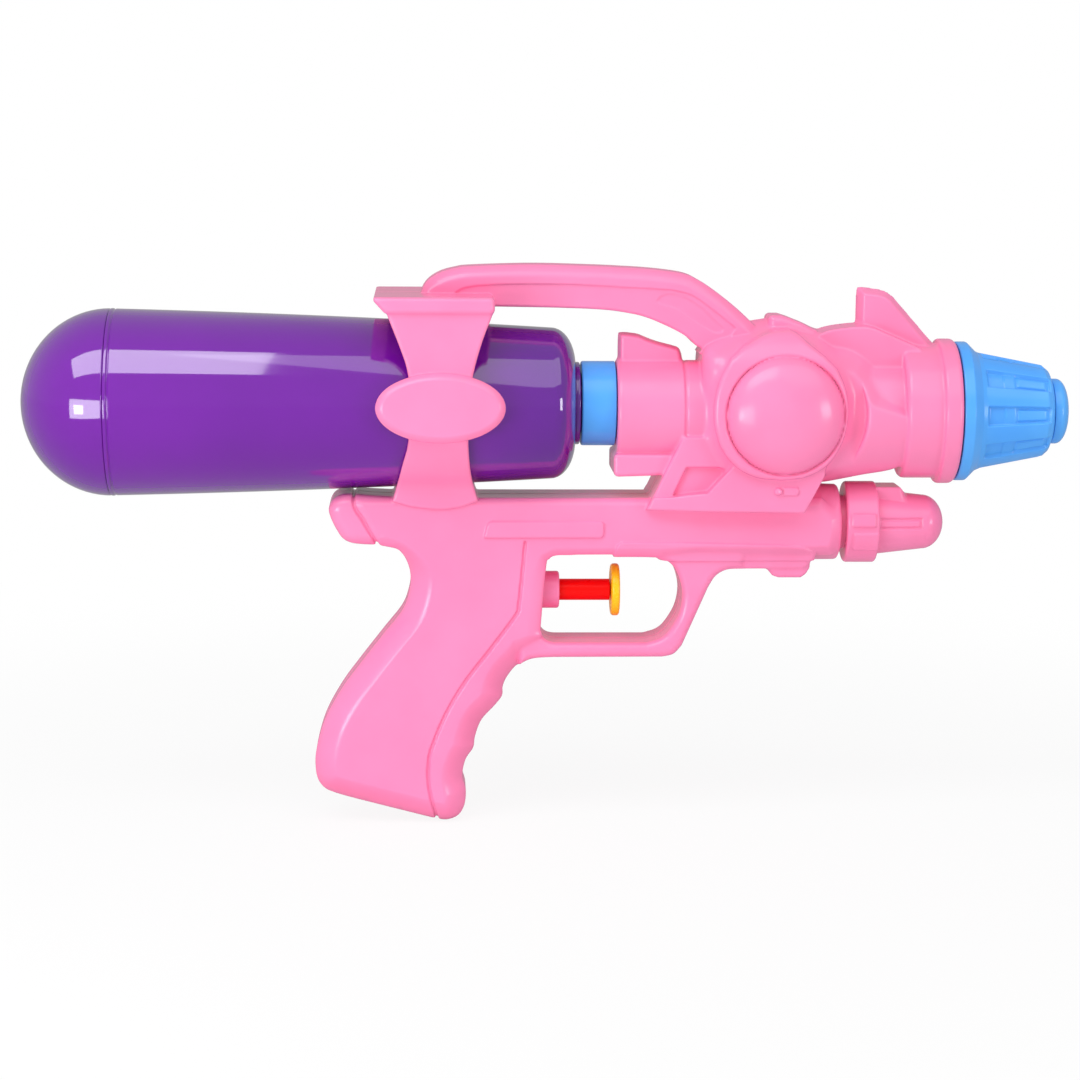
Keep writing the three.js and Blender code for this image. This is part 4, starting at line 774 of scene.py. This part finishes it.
SKIRT = [(20.4, 118), (20.4, 111.6), (21.4, 110.8), (33.6, 111.2), (40, 111.8), (43, 118)]
BRACKET = [(30.6, 100.8), (41.8, 123.7), (51, 123.7), (56, 130), (86, 130), (86, 112),
           (79.8, 100.2)]
WINDOW = [(42.9, 114.2), (56, 114.2), (56, 112), (49.6, 106.5), (44.3, 106), (38.7, 105.1)]
FRONT_PLATE = [(58.2, 116), (49.4, 106.4), (44.2, 105.9), (38.6, 105), (24, 104.6), (24, 96),
               (90, 96), (90, 124), (66, 124)]
UPPER_BLOCK = [(52, 88), (52, 81.4), (80.6, 81.4), (82.4, 82.6), (83.6, 84.6), (84.2, 88)]
LOWER_BLOCK = [(66.4, 84), (69.6, 80.9), (71.2, 79), (73, 78.4), (80.2, 78.4), (81.8, 79.6),
               (83, 81.6), (83, 84)]
STRIP = [(20.2, 84), (21.6, 89.2), (23, 90.3), (40, 90.3), (73, 89.6), (80, 88.8), (84.6, 86.6),
         (84.6, 84)]
PANEL = [(-20.2, 91.6), (-19.2, 95.7), (-18.7, 96.5), (-17.8, 96.9), (16.6, 96.9), (17.4, 96.2),
         (17.4, 92.5), (16.6, 91.7)]
STRAP = joined(
    [(-50.4, 164), (-49.9, 161.4), (-46.6, 153), (-44.2, 145.8), (-43.3, 138), (-43.7, 123.9),
     (-45.6, 115.5), (-47.2, 109), (-48.3, 104.8), (-49, 103.2)],
    [(-43, 101.5), (-34.4, 100.6), (-27.4, 101.4), (-21.9, 103.4)],
    [(-22.6, 105.2), (-23.9, 110.4), (-24.8, 116), (-25.3, 123.9), (-25, 134), (-24, 143.5),
     (-21.4, 153.4), (-18.4, 161.5), (-17.6, 164)],
)
LIP = [(-54.5, 167.7), (-54.3, 166.4), (-51, 162.8), (-49.6, 162.5), (-18.4, 162.5),
       (-17.4, 163.5), (-17.4, 166.7), (-18.4, 167.7)]
FINGER_LINE = [(-7.2, 90.1), (-7.9, 82.3), (-9.1, 70.4), (-10.1, 67), (-18.1, 56.1), (-25.5, 46.4),
               (-31.4, 36.6), (-35.6, 26.8), (-37.3, 20.6), (-37.3, 12.4), (-35.1, 2.5), (-34, -2)]
KNOB_LINE = [(-60.4, 110), (-60.8, 102.3), (-57.9, 97.1), (-54.3, 90.8), (-51.6, 86)]
CATCH = [(72.8, 105.8), (77.2, 105.8), (77.8, 106.4), (77.8, 107.8), (77.2, 108.4), (72.8, 108.4)]
SCREWS = [(-51.3, 13.8), (-38.8, 47.3), (-60.9, 97.2), (60.3, 87), (84, 95.2), (-14, 171.3),
          (51.3, 161.2), (100.3, 120.4)]

# The halves' wall, the radius of a screw's boss and of the rooms for its head and shank, and
# how far from the parting plane the head's room begins and the pilot hole ends.
WALL = 2.2
BOSS = 3.7
HEAD_ROOM, SHANK_ROOM = 3.0, 1.6
HEAD_DEPTH, PILOT_DEPTH = 5.1, 7.3
HALF_TRIANGLES = 190000
FAR = 1e3


def climb(value, start, bend):
    """Zero up to the start, then the distance past it, with a soft bend between."""
    share = np.clip((value - start) / bend + 0.5, 0, 1)
    return np.maximum(value - start - bend / 2, 0) + bend / 2 * share * share


def grip_level(space):
    """Grip, frame and knob: flat-sided forms of one width, softly rounded on the grip."""
    grip, bar, knob = [space.flat(outline) for outline in (GRIP, FRAME, KNOB)]
    opening = space.flat(OPENING)
    z = space.z[None, :]
    low = np.clip((94 - z) / 16, 0, 1)
    rounding = 2.2 + 4.6 * low * low * (3 - 2 * low)
    near_opening = np.clip(1 - opening / 9, 0, 1)
    rounding = rounding * (1 - near_opening) + 2.0 * near_opening
    flat = merged(grip, bar, 1.0)
    flat = carved(flat, opening, 0.5)
    sides = space.bevelled(flat, 13.4, rounding, 1.35)
    ball = space.slab(knob, 13.2, 3.8)
    return merged(sides, ball, 0.6)


def lower_barrel_level(space):
    """The plain round barrel under the housing, whose end shows at the dark gap."""
    corners = [(50, 0, 0), (50, 12.2, 3), (92.4, 12, 1.2), (92.4, 0, 0)]
    return space.turned(corners, LOWER_Z)


def barrel_level(space):
    """Sleeve behind the housing, the core in front of it and the two rings at the nozzle."""
    corners = [
        (21.4, 0, 0), (21.4, 16.4, 1.2), (42.2, 16.4, 0.7), (42.5, 15.6, 0.3), (43.2, 15.6, 0.3),
        (43.4, 15.9, 0.3), (48, 15.9, 0.5), (60, 15.9, 0), (60, 16.8, 0), (111.3, 16.8, 0.6),
        (111.3, 21.2, 1.6), (122.9, 21.2, 0.8), (122.9, 22.9, 1.4), (128.6, 22.9, 1.7),
        (128.6, 0, 0)]
    return space.turned(corners, BARREL_Z)


def cheek_level(space):
    """The flank of the front barrel: a cone that ends along a slanting line at its top, with
    a round bed cut into it for the housing's ring."""
    cone = space.turned([(60, 0, 0), (60, 23, 1), (88, 22.6, 8), (113.6, 19.2, 0.6),
                         (113.6, 0, 0)], BARREL_Z)
    brow = space.plate(BROW) + 0.8 * np.maximum(space.side - 8.6, 0)
    outline = np.maximum(space.plate(CHEEK), brow)
    flank = -merged(-cone, -outline, 0.9)
    bed = np.maximum(space.rod_across(DOME_X, DOME_Z, 25.7), 16.2 - space.side)
    return carved(flank, bed, 1.6)


def housing_level(space):
    """The round housing: a drum and a raised ring whose sides lean in above the dome like a
    visor, and the big dome in its cup."""
    z = space.z[None, None, :]
    drum = space.slab(space.flat(DRUM), 18.6 - 1.1 * climb(z, 148, 8), 7.0)
    ring = space.slab(space.flat(RING), 22 - 1.1 * climb(z, 150.5, 11), 1.3, draft=0.06)
    body = merged(drum, ring, 1.8)
    cup = [(20.4, 0, 0), (20.4, 18.55, 0.5), (30, 19.2, 0), (30, 0, 0)]
    body = carved(body, space.turned_across(cup, DOME_X, DOME_Z), 0.9)
    turn = np.linspace(0, np.pi / 2, 14)
    dome = [(0, 0, 0), (0, 18.3, 0), (20, 18.3, 0)]
    dome += [(20 + 8.5 * math.sin(t), 18.3 * math.cos(t), 0) for t in turn[1:]]
    return np.minimum(body, space.turned_across(dome, DOME_X, DOME_Z))


def handle_level(space):
    """The carry handle: a bar with a round top and a tighter lower edge, whose sides are let in
    below its rim, with a long leaf let in at the bend."""
    middle = np.interp(space.x, *np.transpose(HANDLE_MIDDLE))
    upper = np.clip((space.z[None, :] - middle[:, None]) / 5 + 0.5, 0, 1)
    bar = space.bevelled(space.flat(HANDLE), 9.2, 1.3 + 2.5 * upper, 1.5)
    bar = sunk(bar, space.plate(HANDLE_SIDE), 0.6, 0.3)
    return sunk(bar, space.plate(HANDLE_SLOT), 0.4, 0.3)


def bracket_level(space):
    """Plates between the frame and the barrel: the front of each stands out further than its
    strut, with a window let in between them."""
    flat = space.flat(BRACKET)
    plate = sunk(space.slab(flat, 15.8, 0.8), space.plate(WINDOW), 1.8, 0.5)
    rise = 3.3 * np.clip((space.x - 26) / 24, 0, 1)[:, None, None]
    front = space.slab(np.maximum(flat, space.flat(FRONT_PLATE)), 15.8 + rise, 0.6)
    return merged(plate, front, 0.3)


def strap_level(space):
    """The strap: an hourglass from the side; from behind, a band that hugs the tank's lower
    half and goes straight up past its upper half to the flat lip."""
    y, z = space.side[0], space.z[None, :]
    rise = np.clip((z - TANK_Z) / 14, 0, 1)
    below = np.minimum(z - TANK_Z, 0)
    outer = np.hypot(y, below) - (28.8 + 0.8 * rise * rise * (3 - 2 * rise))
    foot = np.maximum(y - 14.7, z - 110)
    band = merged(np.maximum(outer, z - 165), foot, 3.0)
    strap = rounded_corner(space.plate(STRAP) + 0.9, band[None] + 0.9) - 0.9
    strap = merged(strap, space.slab(space.flat(softened(LIP, 1.2)), 31, 1.5), 0.6)
    rounding = 2.2
    face = space.plate(ellipse(STRAP_X, 133.9, 20, 10.8)) + rounding
    across = np.abs(space.side - 30.0) - (2.4 - rounding)
    oval = rounded_corner(face, across, 1.4) - rounding
    strap = merged(strap, oval, 0.5)
    room = np.maximum(np.hypot(y, below) - 26.5, z - 162.2)
    return strap, room[None]


def tank_room(space):
    """The space of the tank, a little wider than the tank itself."""
    x = np.array([-190, -139.1, -104, -69, -34, 1])
    share = (x - x[1]) / 140.1
    radius = 29.95 - 5.55 * share + 2.6 * share * (1 - share)
    radius[0] = 29.95
    wall = [(along, out, 0) for along, out in zip(x, radius)]
    return space.turned([(-190, 0, 0), *wall, (8.9, 24.4, 0), (8.9, 0, 0)], TANK_Z)


def fixed_forms(space):
    """Blocks, skirt, fins and fairing: the parts of the halves with no hollow."""
    total = np.float32(FAR)
    for outline, half_width, rounding, draft, fillet in (
            (UPPER_BLOCK, 10.4, 1.0, 0.0, 1.0), (LOWER_BLOCK, 9.4, 1.2, 0.0, 0.8),
            (softened(SKIRT, 1.2), 13, 1.2, 0.0, 1.0), (SLEEVE_FIN, 4.4, 0.8, 0.22, 1.0),
            (FAIRING, 8.6, 0.6, 0.1, 0.6), (FIN, 4.2, 0.5, 0.5, 0.8),
            (SADDLE, 8, 2.4, 0.0, 2.5)):
        total = merged(total, space.slab(space.flat(outline), half_width, rounding, draft), fillet)
    return total


def guard_level(space):
    """The trigger guard, a little narrower than the grip and the frame that it joins."""
    return space.slab(carved(space.flat(GUARD), space.flat(OPENING), 0.4), 11.5, 2.3)


def shell_level(space):
    """Everything of the two halves together, hollow, with rooms for what they hold."""
    hollow = merged(grip_level(space), lower_barrel_level(space), 3.0)
    hollow = merged(hollow, bracket_level(space), 0.8)
    housing = merged(housing_level(space), cheek_level(space), 1.2)
    hollow = merged(hollow, merged(housing, barrel_level(space), 1.0), 1.2)
    hollow = merged(hollow, handle_level(space), 0.4)
    level = merged(merged(hollow, fixed_forms(space), 0.9), guard_level(space), 0.5)
    strap, room = strap_level(space)
    level = merged(level, strap, 0.4)
    for region, height, edge in (
            (space.plate(PANEL), 0.9, 0.4), (space.plate(STRIP), 0.8, 0.4),
            (space.plate(CATCH), 0.7, 0.4), (space.rod_across(71.2, 107.1, 1.2), 1.1, 0.5)):
        level = overlaid(level, region, height, edge)
    for line, depth in ((FINGER_LINE, 0.95), (KNOB_LINE, 1.0)):
        groove = line_level(curve_through(line), space.x[:, None], space.z[None, :]) - 0.5
        level = sunk(level, groove[:, None, :], depth, 0.35)
    inside = hollow + WALL
    for x, z in SCREWS:
        inside = np.maximum(inside, -space.rod_across(x, z, BOSS))
    inside = np.maximum(inside, -bulkheads(space))
    level = np.maximum(level, -inside)
    strap_span = np.abs(space.x - STRAP_X)[:, None, None] - 24
    level = np.maximum(level, -np.maximum(room, strap_span))
    for cut in bores(space):
        level = np.maximum(level, -cut)
    return level


def bulkheads(space):
    """Ribs that carry the pump and the disc that carries the nozzle's tube."""
    ribs = [
        (-21.7, -19.7, PUMP_Z, 10), (-11, -9, PUMP_Z, 10), (109.2, 111.2, BARREL_Z, 18)]
    total = np.float32(FAR)
    for x0, x1, z, reach in ribs:
        across = np.maximum(np.abs(space.x - (x0 + x1) / 2)[:, None] - (x1 - x0) / 2,
                            np.abs(space.z - z)[None, :] - reach)
        total = np.minimum(total, across[:, None, :])
    return total


def bores(space):
    """Rooms for the tank, its collar, the pump, the nozzle and the lower cap."""
    yield tank_room(space)
    for rod in ((5, 21.4, TANK_Z, 13.6), (5, 24.4, TANK_Z, 11.2), (-6, 6, PUMP_Z, 6.2),
                (-41, -4.6, PUMP_Z, 7.9), (90, 113, BARREL_Z, 4.3), (123.4, 131, BARREL_Z, 18.5),
                (121.8, 131, BARREL_Z, 16.3), (86.6, 96, LOWER_Z, 8.9)):
        yield space.rod_along(*rod)
    valves = np.maximum(np.abs(space.x + 23)[:, None] - 17.5, np.abs(space.z - 86)[None, :] - 12)
    yield np.maximum(valves[:, None, :], space.side - 8)


def pink_halves():
    """Both halves from one level: the right one has the screws' counterbores, the left one
    their pilot holes."""
    space = Space((-75.5, -0.35 * STEP, -1.6), (131, 34.2, 178.6), STEP)
    level = shell_level(space)
    half = np.maximum(level, -space.y[None, :, None])
    seats, pilots = half.copy(), half
    for x, z in SCREWS:
        shank = space.rod_across(x, z, SHANK_ROOM)
        head = np.maximum(space.rod_across(x, z, HEAD_ROOM), HEAD_DEPTH - space.y[None, :, None])
        seats = np.maximum(seats, -np.minimum(head, shank))
        pilots = np.maximum(pilots, -np.maximum(shank, space.y[None, :, None] - PILOT_DEPTH))
    right = skin_mesh("right_half", space, seats, HALF_TRIANGLES)
    left = mirrored(skin_mesh("left_half", space, pilots, HALF_TRIANGLES))
    add_piece(right, "body", "pink_shell", "right_shell", weighted=False)
    add_piece(left, "body", "pink_shell", "left_shell", weighted=False)


def mirrored(mesh):
    """The mesh with Y turned round: places and shading both change sides, and each face is
    read the other way round so that it still points outwards."""
    count = len(mesh.vertices)
    place = np.empty(count * 3, np.float32)
    mesh.vertices.foreach_get("co", place)
    normals = np.empty(len(mesh.loops) * 3, np.float32)
    mesh.corner_normals.foreach_get("vector", normals)
    corners = np.empty(len(mesh.loops), np.int32)
    mesh.loops.foreach_get("vertex_index", corners)
    shading = np.zeros((count, 3), np.float32)
    shading[corners] = normals.reshape(-1, 3)
    turn = np.array([1, -1, 1], np.float32)
    mesh.vertices.foreach_set("co", (place.reshape(-1, 3) * turn).ravel())
    mesh.flip_normals()
    mesh.update()
    mesh.normals_split_custom_set_from_vertices(shading * turn)
    return mesh


pink_halves()

# ---------------------------------------------------------------- tank and collar

TANK_SEAM_X = -139.1
TANK_JOINT_X = -136.9
TANK_SLEEVE_X = -143.1
DOME_RADIUS = 29.35


def tank_radius(x, offset=0.0):
    """A straight taper from seam to shoulder with a slight belly."""
    share = (x - TANK_SEAM_X) / 140.1
    return 29.35 - 5.55 * share + 2.6 * share * (1 - share) + offset


def tank_pieces():
    """Tank body with its seam bead, shoulder, neck ring and bore, and the dome behind it: both
    are profiles turned about the tank's line, their ends quarter ellipses."""
    taper = np.linspace(TANK_SEAM_X + 2.6, 1, 16)
    outer = [(x, tank_radius(x), 0) for x in taper]
    turn = np.linspace(0, np.pi / 2, 12)[1:]
    shoulder = [(1 + 7.6 * math.sin(t), 12.6 + 11.2 * math.cos(t), 0) for t in turn]
    inner = [(x, tank_radius(x, -1.6), 0) for x in taper[::-1]]
    corners = [
        (TANK_SLEEVE_X, 25.9, 0), (TANK_SLEEVE_X, 27.4, 0.4), (TANK_JOINT_X, 27.4, 0),
        (TANK_JOINT_X, 29.38, 0.45), (-135.9, 29.38, 0.3), (-135.45, 28.9, 0.2),
        (-135.0, 29.26, 0.1), *outer[1:], *shoulder,
        (8.6, 13.0, 0.5), (10.0, 13.0, 0.5), (10.0, 9.5, 0.3), (19.6, 9.5, 0.4), (19.6, 7.3, 0.3),
        (6, 7.3, 1), (1, 22.2, 5), *inner[1:], (-140, 25.9, 0)]
    body = turned_mesh("tank", corners, TANK_Z, 160, 5.0)
    add_piece(body, "tank", "purple_tank", "tank_body")
    turn = np.linspace(0, np.pi / 2, 24)
    shell = [(TANK_JOINT_X - 28.1 * math.cos(t), DOME_RADIUS * math.sin(t), 0)
             for t in turn[1:-1]]
    shell = [(-165.0, 0, 0), *shell, (-136.93, DOME_RADIUS, 0.45), (-136.93, 27.75, 0)]
    hollow = [(TANK_SEAM_X - 0.3 - 24.0 * math.cos(t), 27.75 * math.sin(t), 0)
              for t in turn[::-1]]
    dome = turned_mesh("tank_dome", [*shell, *hollow[1:]], TANK_Z, 160, 5.0, closed=False)
    add_piece(dome, "tank", "purple_tank", "tank_end_dome")


def collar_piece():
    """The blue socket of the tank's neck: a turned profile with its bore and hose stub."""
    corners = [
        (10.4, 9.8, 0), (10.4, 13.3, 0.7), (21.1, 13.3, 0.3), (21.1, 10.9, 0), (23.7, 10.9, 0),
        (23.7, 11.9, 0.2), (25.9, 11.9, 0.4), (25.9, 1.2, 0), (30, 1.2, 0.2), (30, 0.7, 0),
        (21.4, 0.7, 0), (21.4, 9.8, 0)]
    mesh = turned_mesh("collar", corners, TANK_Z, 128)
    add_piece(mesh, "body", "blue_plastic", "tank_collar")


tank_pieces()
collar_piece()

# ---------------------------------------------------------------- nozzle and lower cap


def step_up(value, start, end):
    """Rises smoothly from 0 to 1 between start and end."""
    share = np.clip((value - start) / (end - start), 0, 1)
    return share * share * (3 - 2 * share)


def ribbed_radius(x, radius, turn):
    """The cone's radius with nine long ribs: between the ribs it drops in steps, a deep one at
    the rear, a shallow one in the middle and a rounded bar in a channel at the front."""
    pitch = 2 * np.pi / 9
    off = np.abs((turn / pitch + 0.25) % 1 - 0.5) * 40.0
    along = step_up(x, 136.7, 137.2) * (1 - step_up(x, 156.8, 157.8))
    channel = (1 - step_up(off, 9.0, 10.4)) * along
    depth = 1.25 - 0.35 * step_up(x, 142.2, 142.6) + 0.4 * step_up(x, 145.9, 146.4)
    bar = (1 - step_up(off, 5.4, 7.0)) * step_up(x, 146.2, 147.2) * (1 - step_up(x, 155.6, 156.6))
    return radius - channel * (depth - 0.55 * bar)


def nozzle_pieces():
    """The nozzle's ribbed cone, a turned profile whose radius the ribs change over its turn,
    and its round nose with the jet hole."""
    corners = [
        (124.4, 12.6, 0), (124.4, 18.2, 0.3), (126.2, 18.2, 0.3), (126.2, 16, 0), (128.9, 16, 0),
        (128.9, 22, 0.5), (132.2, 22, 0.9), (135.2, 19.0, 0.7), (136.4, 18.5, 0.3),
        (156.6, 14.6, 0.9), (158.4, 13.0, 0.8), (159.3, 10.8, 0.2), (159.3, 6.3, 0),
        (154, 6.3, 0), (152.4, 12.5, 0)]
    path = rounded_profile(corners)
    dense = resampled(np.vstack([path, path[:1]]), 0.35)[:-1]
    count = 440
    turn = 2 * np.pi * np.arange(count) / count
    x = dense[:, :1] + np.zeros((1, count))
    outside = (x > 136.6) & (x < 158.4) & (dense[:, 1:] > 13.2)
    radius = np.where(outside, ribbed_radius(x, dense[:, 1:], turn[None, :]), dense[:, 1:])
    points = np.stack([x, -radius * np.sin(turn), BARREL_Z + radius * np.cos(turn)], -1)
    mesh = mesh_from("nozzle_ribbed_cone", points.reshape(-1, 3),
                     grid_faces(len(dense), count, True, True))
    add_piece(closed_up(mesh), "nozzle", "blue_plastic", "nozzle_cone")
    turn = np.linspace(0, np.pi / 2, 12)[1:]
    nose = [(161.4 + 3.6 * math.sin(t), 0.8 + 9.5 * math.cos(t) ** 0.8, 0) for t in turn[:-1]]
    corners = [(154.4, 0.8, 0), (154.4, 6, 0.3), (159.6, 6, 0), (159.6, 10.3, 0.2),
               (161.4, 10.3, 0.4), *nose, (165, 1.2, 0.2), (164.6, 0.8, 0)]
    mesh = turned_mesh("nozzle_nose", corners, BARREL_Z, 128, 2.0)
    add_piece(mesh, "nozzle", "blue_plastic", "nozzle_tip")


def pad(x, x0, x1, across, low, high, soft=0.3):
    """A raised field between x0 and x1 and between low and high across, soft at its rim."""
    along = step_up(x, x0, x0 + soft) * (1 - step_up(x, x1 - soft, x1))
    return along * step_up(across, low, low + soft) * (1 - step_up(across, high - soft, high))


def lower_cap():
    """The pink front cap: a band with two pads a side, a block on top of its cone and a bar
    along each flank, all as one radius over length and turn."""
    corners = [
        (88.7, 0, 0), (88.7, 8.6, 0.4), (94.3, 8.6, 0), (94.3, 12.9, 1.0), (104.3, 12.9, 0.9),
        (104.6, 10.3, 0.3)]
    turn = np.linspace(0, np.pi / 2, 16)
    corners += [(119.4 + 6.8 * math.sin(t), 8.6 * math.cos(t), 0) for t in turn]
    dense = resampled(rounded_profile(corners, 9), 0.3)
    count = 300
    turn = 2 * np.pi * np.arange(count) / count
    x, base = dense[:, :1] + np.zeros((1, count)), dense[:, 1:] + np.zeros((1, count))
    height = base * np.cos(turn)
    flank = np.abs(np.sin(turn)) > 0.5
    fields = pad(x, 95.6, 103.2, height, -0.2, 4.0) + pad(x, 96.2, 104.4, height, -7.6, -2.0)
    bar = 0.7 * pad(x, 104.8, 118.0, height, -0.9, 1.6, 0.6)
    bar = bar - pad(x, 104.8, 118.8, height, -1.6, 2.4)
    reach = np.minimum(12.0 / np.maximum(np.cos(turn), 1e-3),
                       6.5 / np.maximum(np.abs(np.sin(turn)), 1e-3))
    reach = np.where(np.cos(turn) > 0.2, reach, 0) - 0.3
    block = step_up(x, 103.6, 103.9) * (1 - step_up(x, 111.2, 114.4)) * (base > 7)
    radius = base + np.where(flank, 0.8 * fields + 0.7 * bar, 0)
    radius = np.where((block > 0) & (reach > radius), radius + (reach - radius) * block, radius)
    points = np.stack([x, -radius * np.sin(turn), LOWER_Z + radius * np.cos(turn)], -1)
    faces = grid_faces(len(dense), count, False, True)
    mesh = mesh_from("lower_cap", points.reshape(-1, 3), faces)
    add_piece(closed_up(mesh), "body", "pink_shell", "lower_front_cap")


nozzle_pieces()
lower_cap()

# ---------------------------------------------------------------- trigger and gland


def trigger_pieces():
    """Gland, rod and disc: profiles turned about the pump's line."""
    gland = [(-7, 3.7, 0), (-7, 7.6, 0.3), (-5, 7.6, 0.3), (-5, 5.9, 0), (4, 5.9, 0.8),
             (4, 3.9, 0.2)]
    add_piece(turned_mesh("gland", gland, PUMP_Z, 96), "body", "pink_shell", "pump_gland")
    rod = [(-12.5, 0, 0), (-12.5, 1.7, 0.3), (-8, 1.7, 0), (-8, 3.4, 0.3), (20.1, 3.4, 0.2),
           (20.1, 1.7, 0), (22, 1.7, 0.2), (22, 0, 0)]
    mesh = turned_mesh("rod", rod, PUMP_Z, 64, 4.0, closed=False)
    add_piece(mesh, "trigger", "red_plastic", "trigger_rod")
    disc = [(22.3, 0, 0), (22.3, 2, 0), (20.4, 2, 0), (20.4, 8.3, 1.0), (23.1, 8.3, 1.0),
            (23.1, 6.4, 0.4), (22.85, 6.0, 0.3), (22.85, 0, 0)]
    mesh = turned_mesh("disc", disc, PUMP_Z, 96, 2.0, closed=False)
    add_piece(mesh, "trigger", "yellow_plastic", "trigger_disc")


trigger_pieces()

# ---------------------------------------------------------------- hoses inside


def hose_piece(name, points, node):
    """A round tube with its bore: a ring profile carried along a smooth curve in the plane
    Y = 0, outwards on the way there and inwards on the way back."""
    route = curve_through(points, 1.2)
    along = np.gradient(route, axis=0)
    along /= np.hypot(*along.T)[:, None]
    across = np.stack([along[:, 1], -along[:, 0]], 1)
    count = 20
    sweep = 2 * np.pi * np.arange(count) / count
    rings = []
    for radius, order in ((2.15, slice(None)), (1.45, slice(None, None, -1))):
        centre, side = route[order], across[order]
        x = centre[:, :1] + radius * np.cos(sweep) * side[:, :1]
        z = centre[:, 1:] + radius * np.cos(sweep) * side[:, 1:]
        y = radius * np.sin(sweep) + np.zeros_like(x)
        rings.append(np.stack([x, y, z], -1))
    points = np.concatenate(rings)
    mesh = mesh_from(name, points.reshape(-1, 3), grid_faces(len(points), count, True, True))
    add_piece(closed_up(mesh), "body", "soft_hose", node)


def hoses():
    """The two hoses follow the same bends as the frame's: down from the collar to the inlet,
    and from the outlet up to the nozzle's tube."""
    suction_z, delivery_z = 98.94, 93.94
    drop, turn_x = TANK_Z - suction_z, 40.2
    bends = [(0, 0.05), (0.38, 0.3), (0.42, 0.65), (0.16, 0.94), (-0.2, 1), (-0.5, 1)]
    route = [(26.2, TANK_Z), (33.2, TANK_Z)]
    route += [(turn_x + a * drop, TANK_Z - d * drop) for a, d in bends]
    route += [(4.0, suction_z), (-25.2, suction_z), (-32.2, suction_z)]
    hose_piece("suction_tube", route, "suction_hose")
    rise = BARREL_Z - delivery_z
    route = [(-23.4, delivery_z), (-16.4, delivery_z), (24.3, delivery_z)]
    route += [(72 + a * rise, delivery_z + u * rise)
              for a, u in ((-0.6, 0), (-0.3, 0.1), (-0.1, 0.5), (0.1, 0.9))]
    route += [(90, BARREL_Z), (97, BARREL_Z)]
    hose_piece("delivery_tube", route, "delivery_hose")


hoses()

# ---------------------------------------------------------------- finishes of the carried nodes

CARRIED = {
    "white_plastic": ["nozzle_tube", "piston", "pump_cylinder", "inlet_cap", "outlet_cap"],
    "dark_rubber": ["tank_washer", "nozzle_seal", "piston_ring"],
    "steel": ["return_spring", "inlet_ball", "outlet_ball", "inlet_spring", "outlet_spring"]
    + [f"case_screw_{number}" for number in range(1, 9)],
}
for finish, names in CARRIED.items():
    for name in names:
        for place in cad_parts[name].material_slots:
            place.material = FINISHES[finish]

# ---------------------------------------------------------------- floor and light


def floor():
    """A plain white floor that still takes the object's shadow."""
    corners = [(-9000, -9000, 0), (9000, -9000, 0), (9000, 9000, 0), (-9000, 9000, 0)]
    mesh = mesh_from("floor", corners, np.array([[0, 1, 2, 3]]))
    ground = bpy.data.objects.new("floor", mesh)
    bpy.context.scene.collection.objects.link(ground)
    ground.location.z = -0.0002
    paint = Paint("floor")
    paint.set(Base_Color=(0.86, 0.86, 0.86, 1), Roughness=0.9)
    camera, glossy, through = paint.rays()
    away = paint.node("ShaderNodeVectorMath", {"operation": "LENGTH"}, {0: paint.places}, 1)
    share = camera * (0.8 + paint.ramp(away, 0.2, 0.55) * 0.2) + glossy + through
    pale = paint.blend(glossy, (1, 1, 1, 1), (0.36, 0.36, 0.36, 1))
    glow = paint.node("ShaderNodeEmission", {}, {"Color": pale, "Strength": 1.0})
    plain = Wire(paint, paint.shader.outputs[0])
    both = paint.chosen(paint.ramp(share, 0, 1), plain, glow)
    paint.feed(paint.tree.nodes["Material Output"].inputs["Surface"], both)
    mesh.materials.append(paint.material)


def surroundings():
    """Even pale light from all round; pure white where the camera looks past the object or
    through its clear parts, and a pale grey in its gloss."""
    world = bpy.data.worlds.new("room")
    bpy.context.scene.world = world
    sky = Nodes(world)
    sky.tree.nodes.remove(sky.tree.nodes["Background"])
    camera, glossy, through = sky.rays()
    light = sky.backdrop(0.46)
    for ray, strength in ((glossy, 0.4), (through, 1.0), (camera, 1.0)):
        light = sky.chosen(ray, light, sky.backdrop(strength))
    sky.feed(sky.tree.nodes["World Output"].inputs["Surface"], light)


def soft_lamp(name, place, aim, width, height, power):
    """A flat rectangular lamp, turned to shine at its aim."""
    lamp = bpy.data.lights.new(name, "AREA")
    lamp.shape = "RECTANGLE"
    lamp.size, lamp.size_y = width, height
    lamp.energy = power
    holder = bpy.data.objects.new(name, lamp)
    turn = (Vector(aim) - Vector(place)).to_track_quat("-Z", "Y").to_matrix().to_4x4()
    holder.matrix_world = Matrix.Translation(place) @ turn
    bpy.context.scene.collection.objects.link(holder)


def lights():
    """A bright box over the tank and a dim one over the front, which make the band along the
    tank; a window and a bulb that make the dome's square; a far window on the right."""
    tank, dome, middle = (-0.72, 0, 0.12), (-0.143, 0, 0.133), (0, 0, 0.12)
    for lamp in (
            ("long_box", (-0.72, -0.75, 1.25), tank, 1.3, 0.75, 11),
            ("wide_box", (0.58, -0.72, 1.22), (0.2, 0, 0.12), 1.25, 1.1, 4.5),
            ("left_window", (-0.351, -0.399, 0.104), dome, 0.333, 0.172, 0.8),
            ("left_bulb", (-0.401, -0.368, 0.1), dome, 0.1, 0.08, 0.16),
            ("right_window", (1.05, -0.8, 0.14), middle, 0.34, 0.42, 2.8)):
        soft_lamp(*lamp)



floor()
surroundings()
lights()
bpy.context.scene.view_settings.view_transform = "Standard"
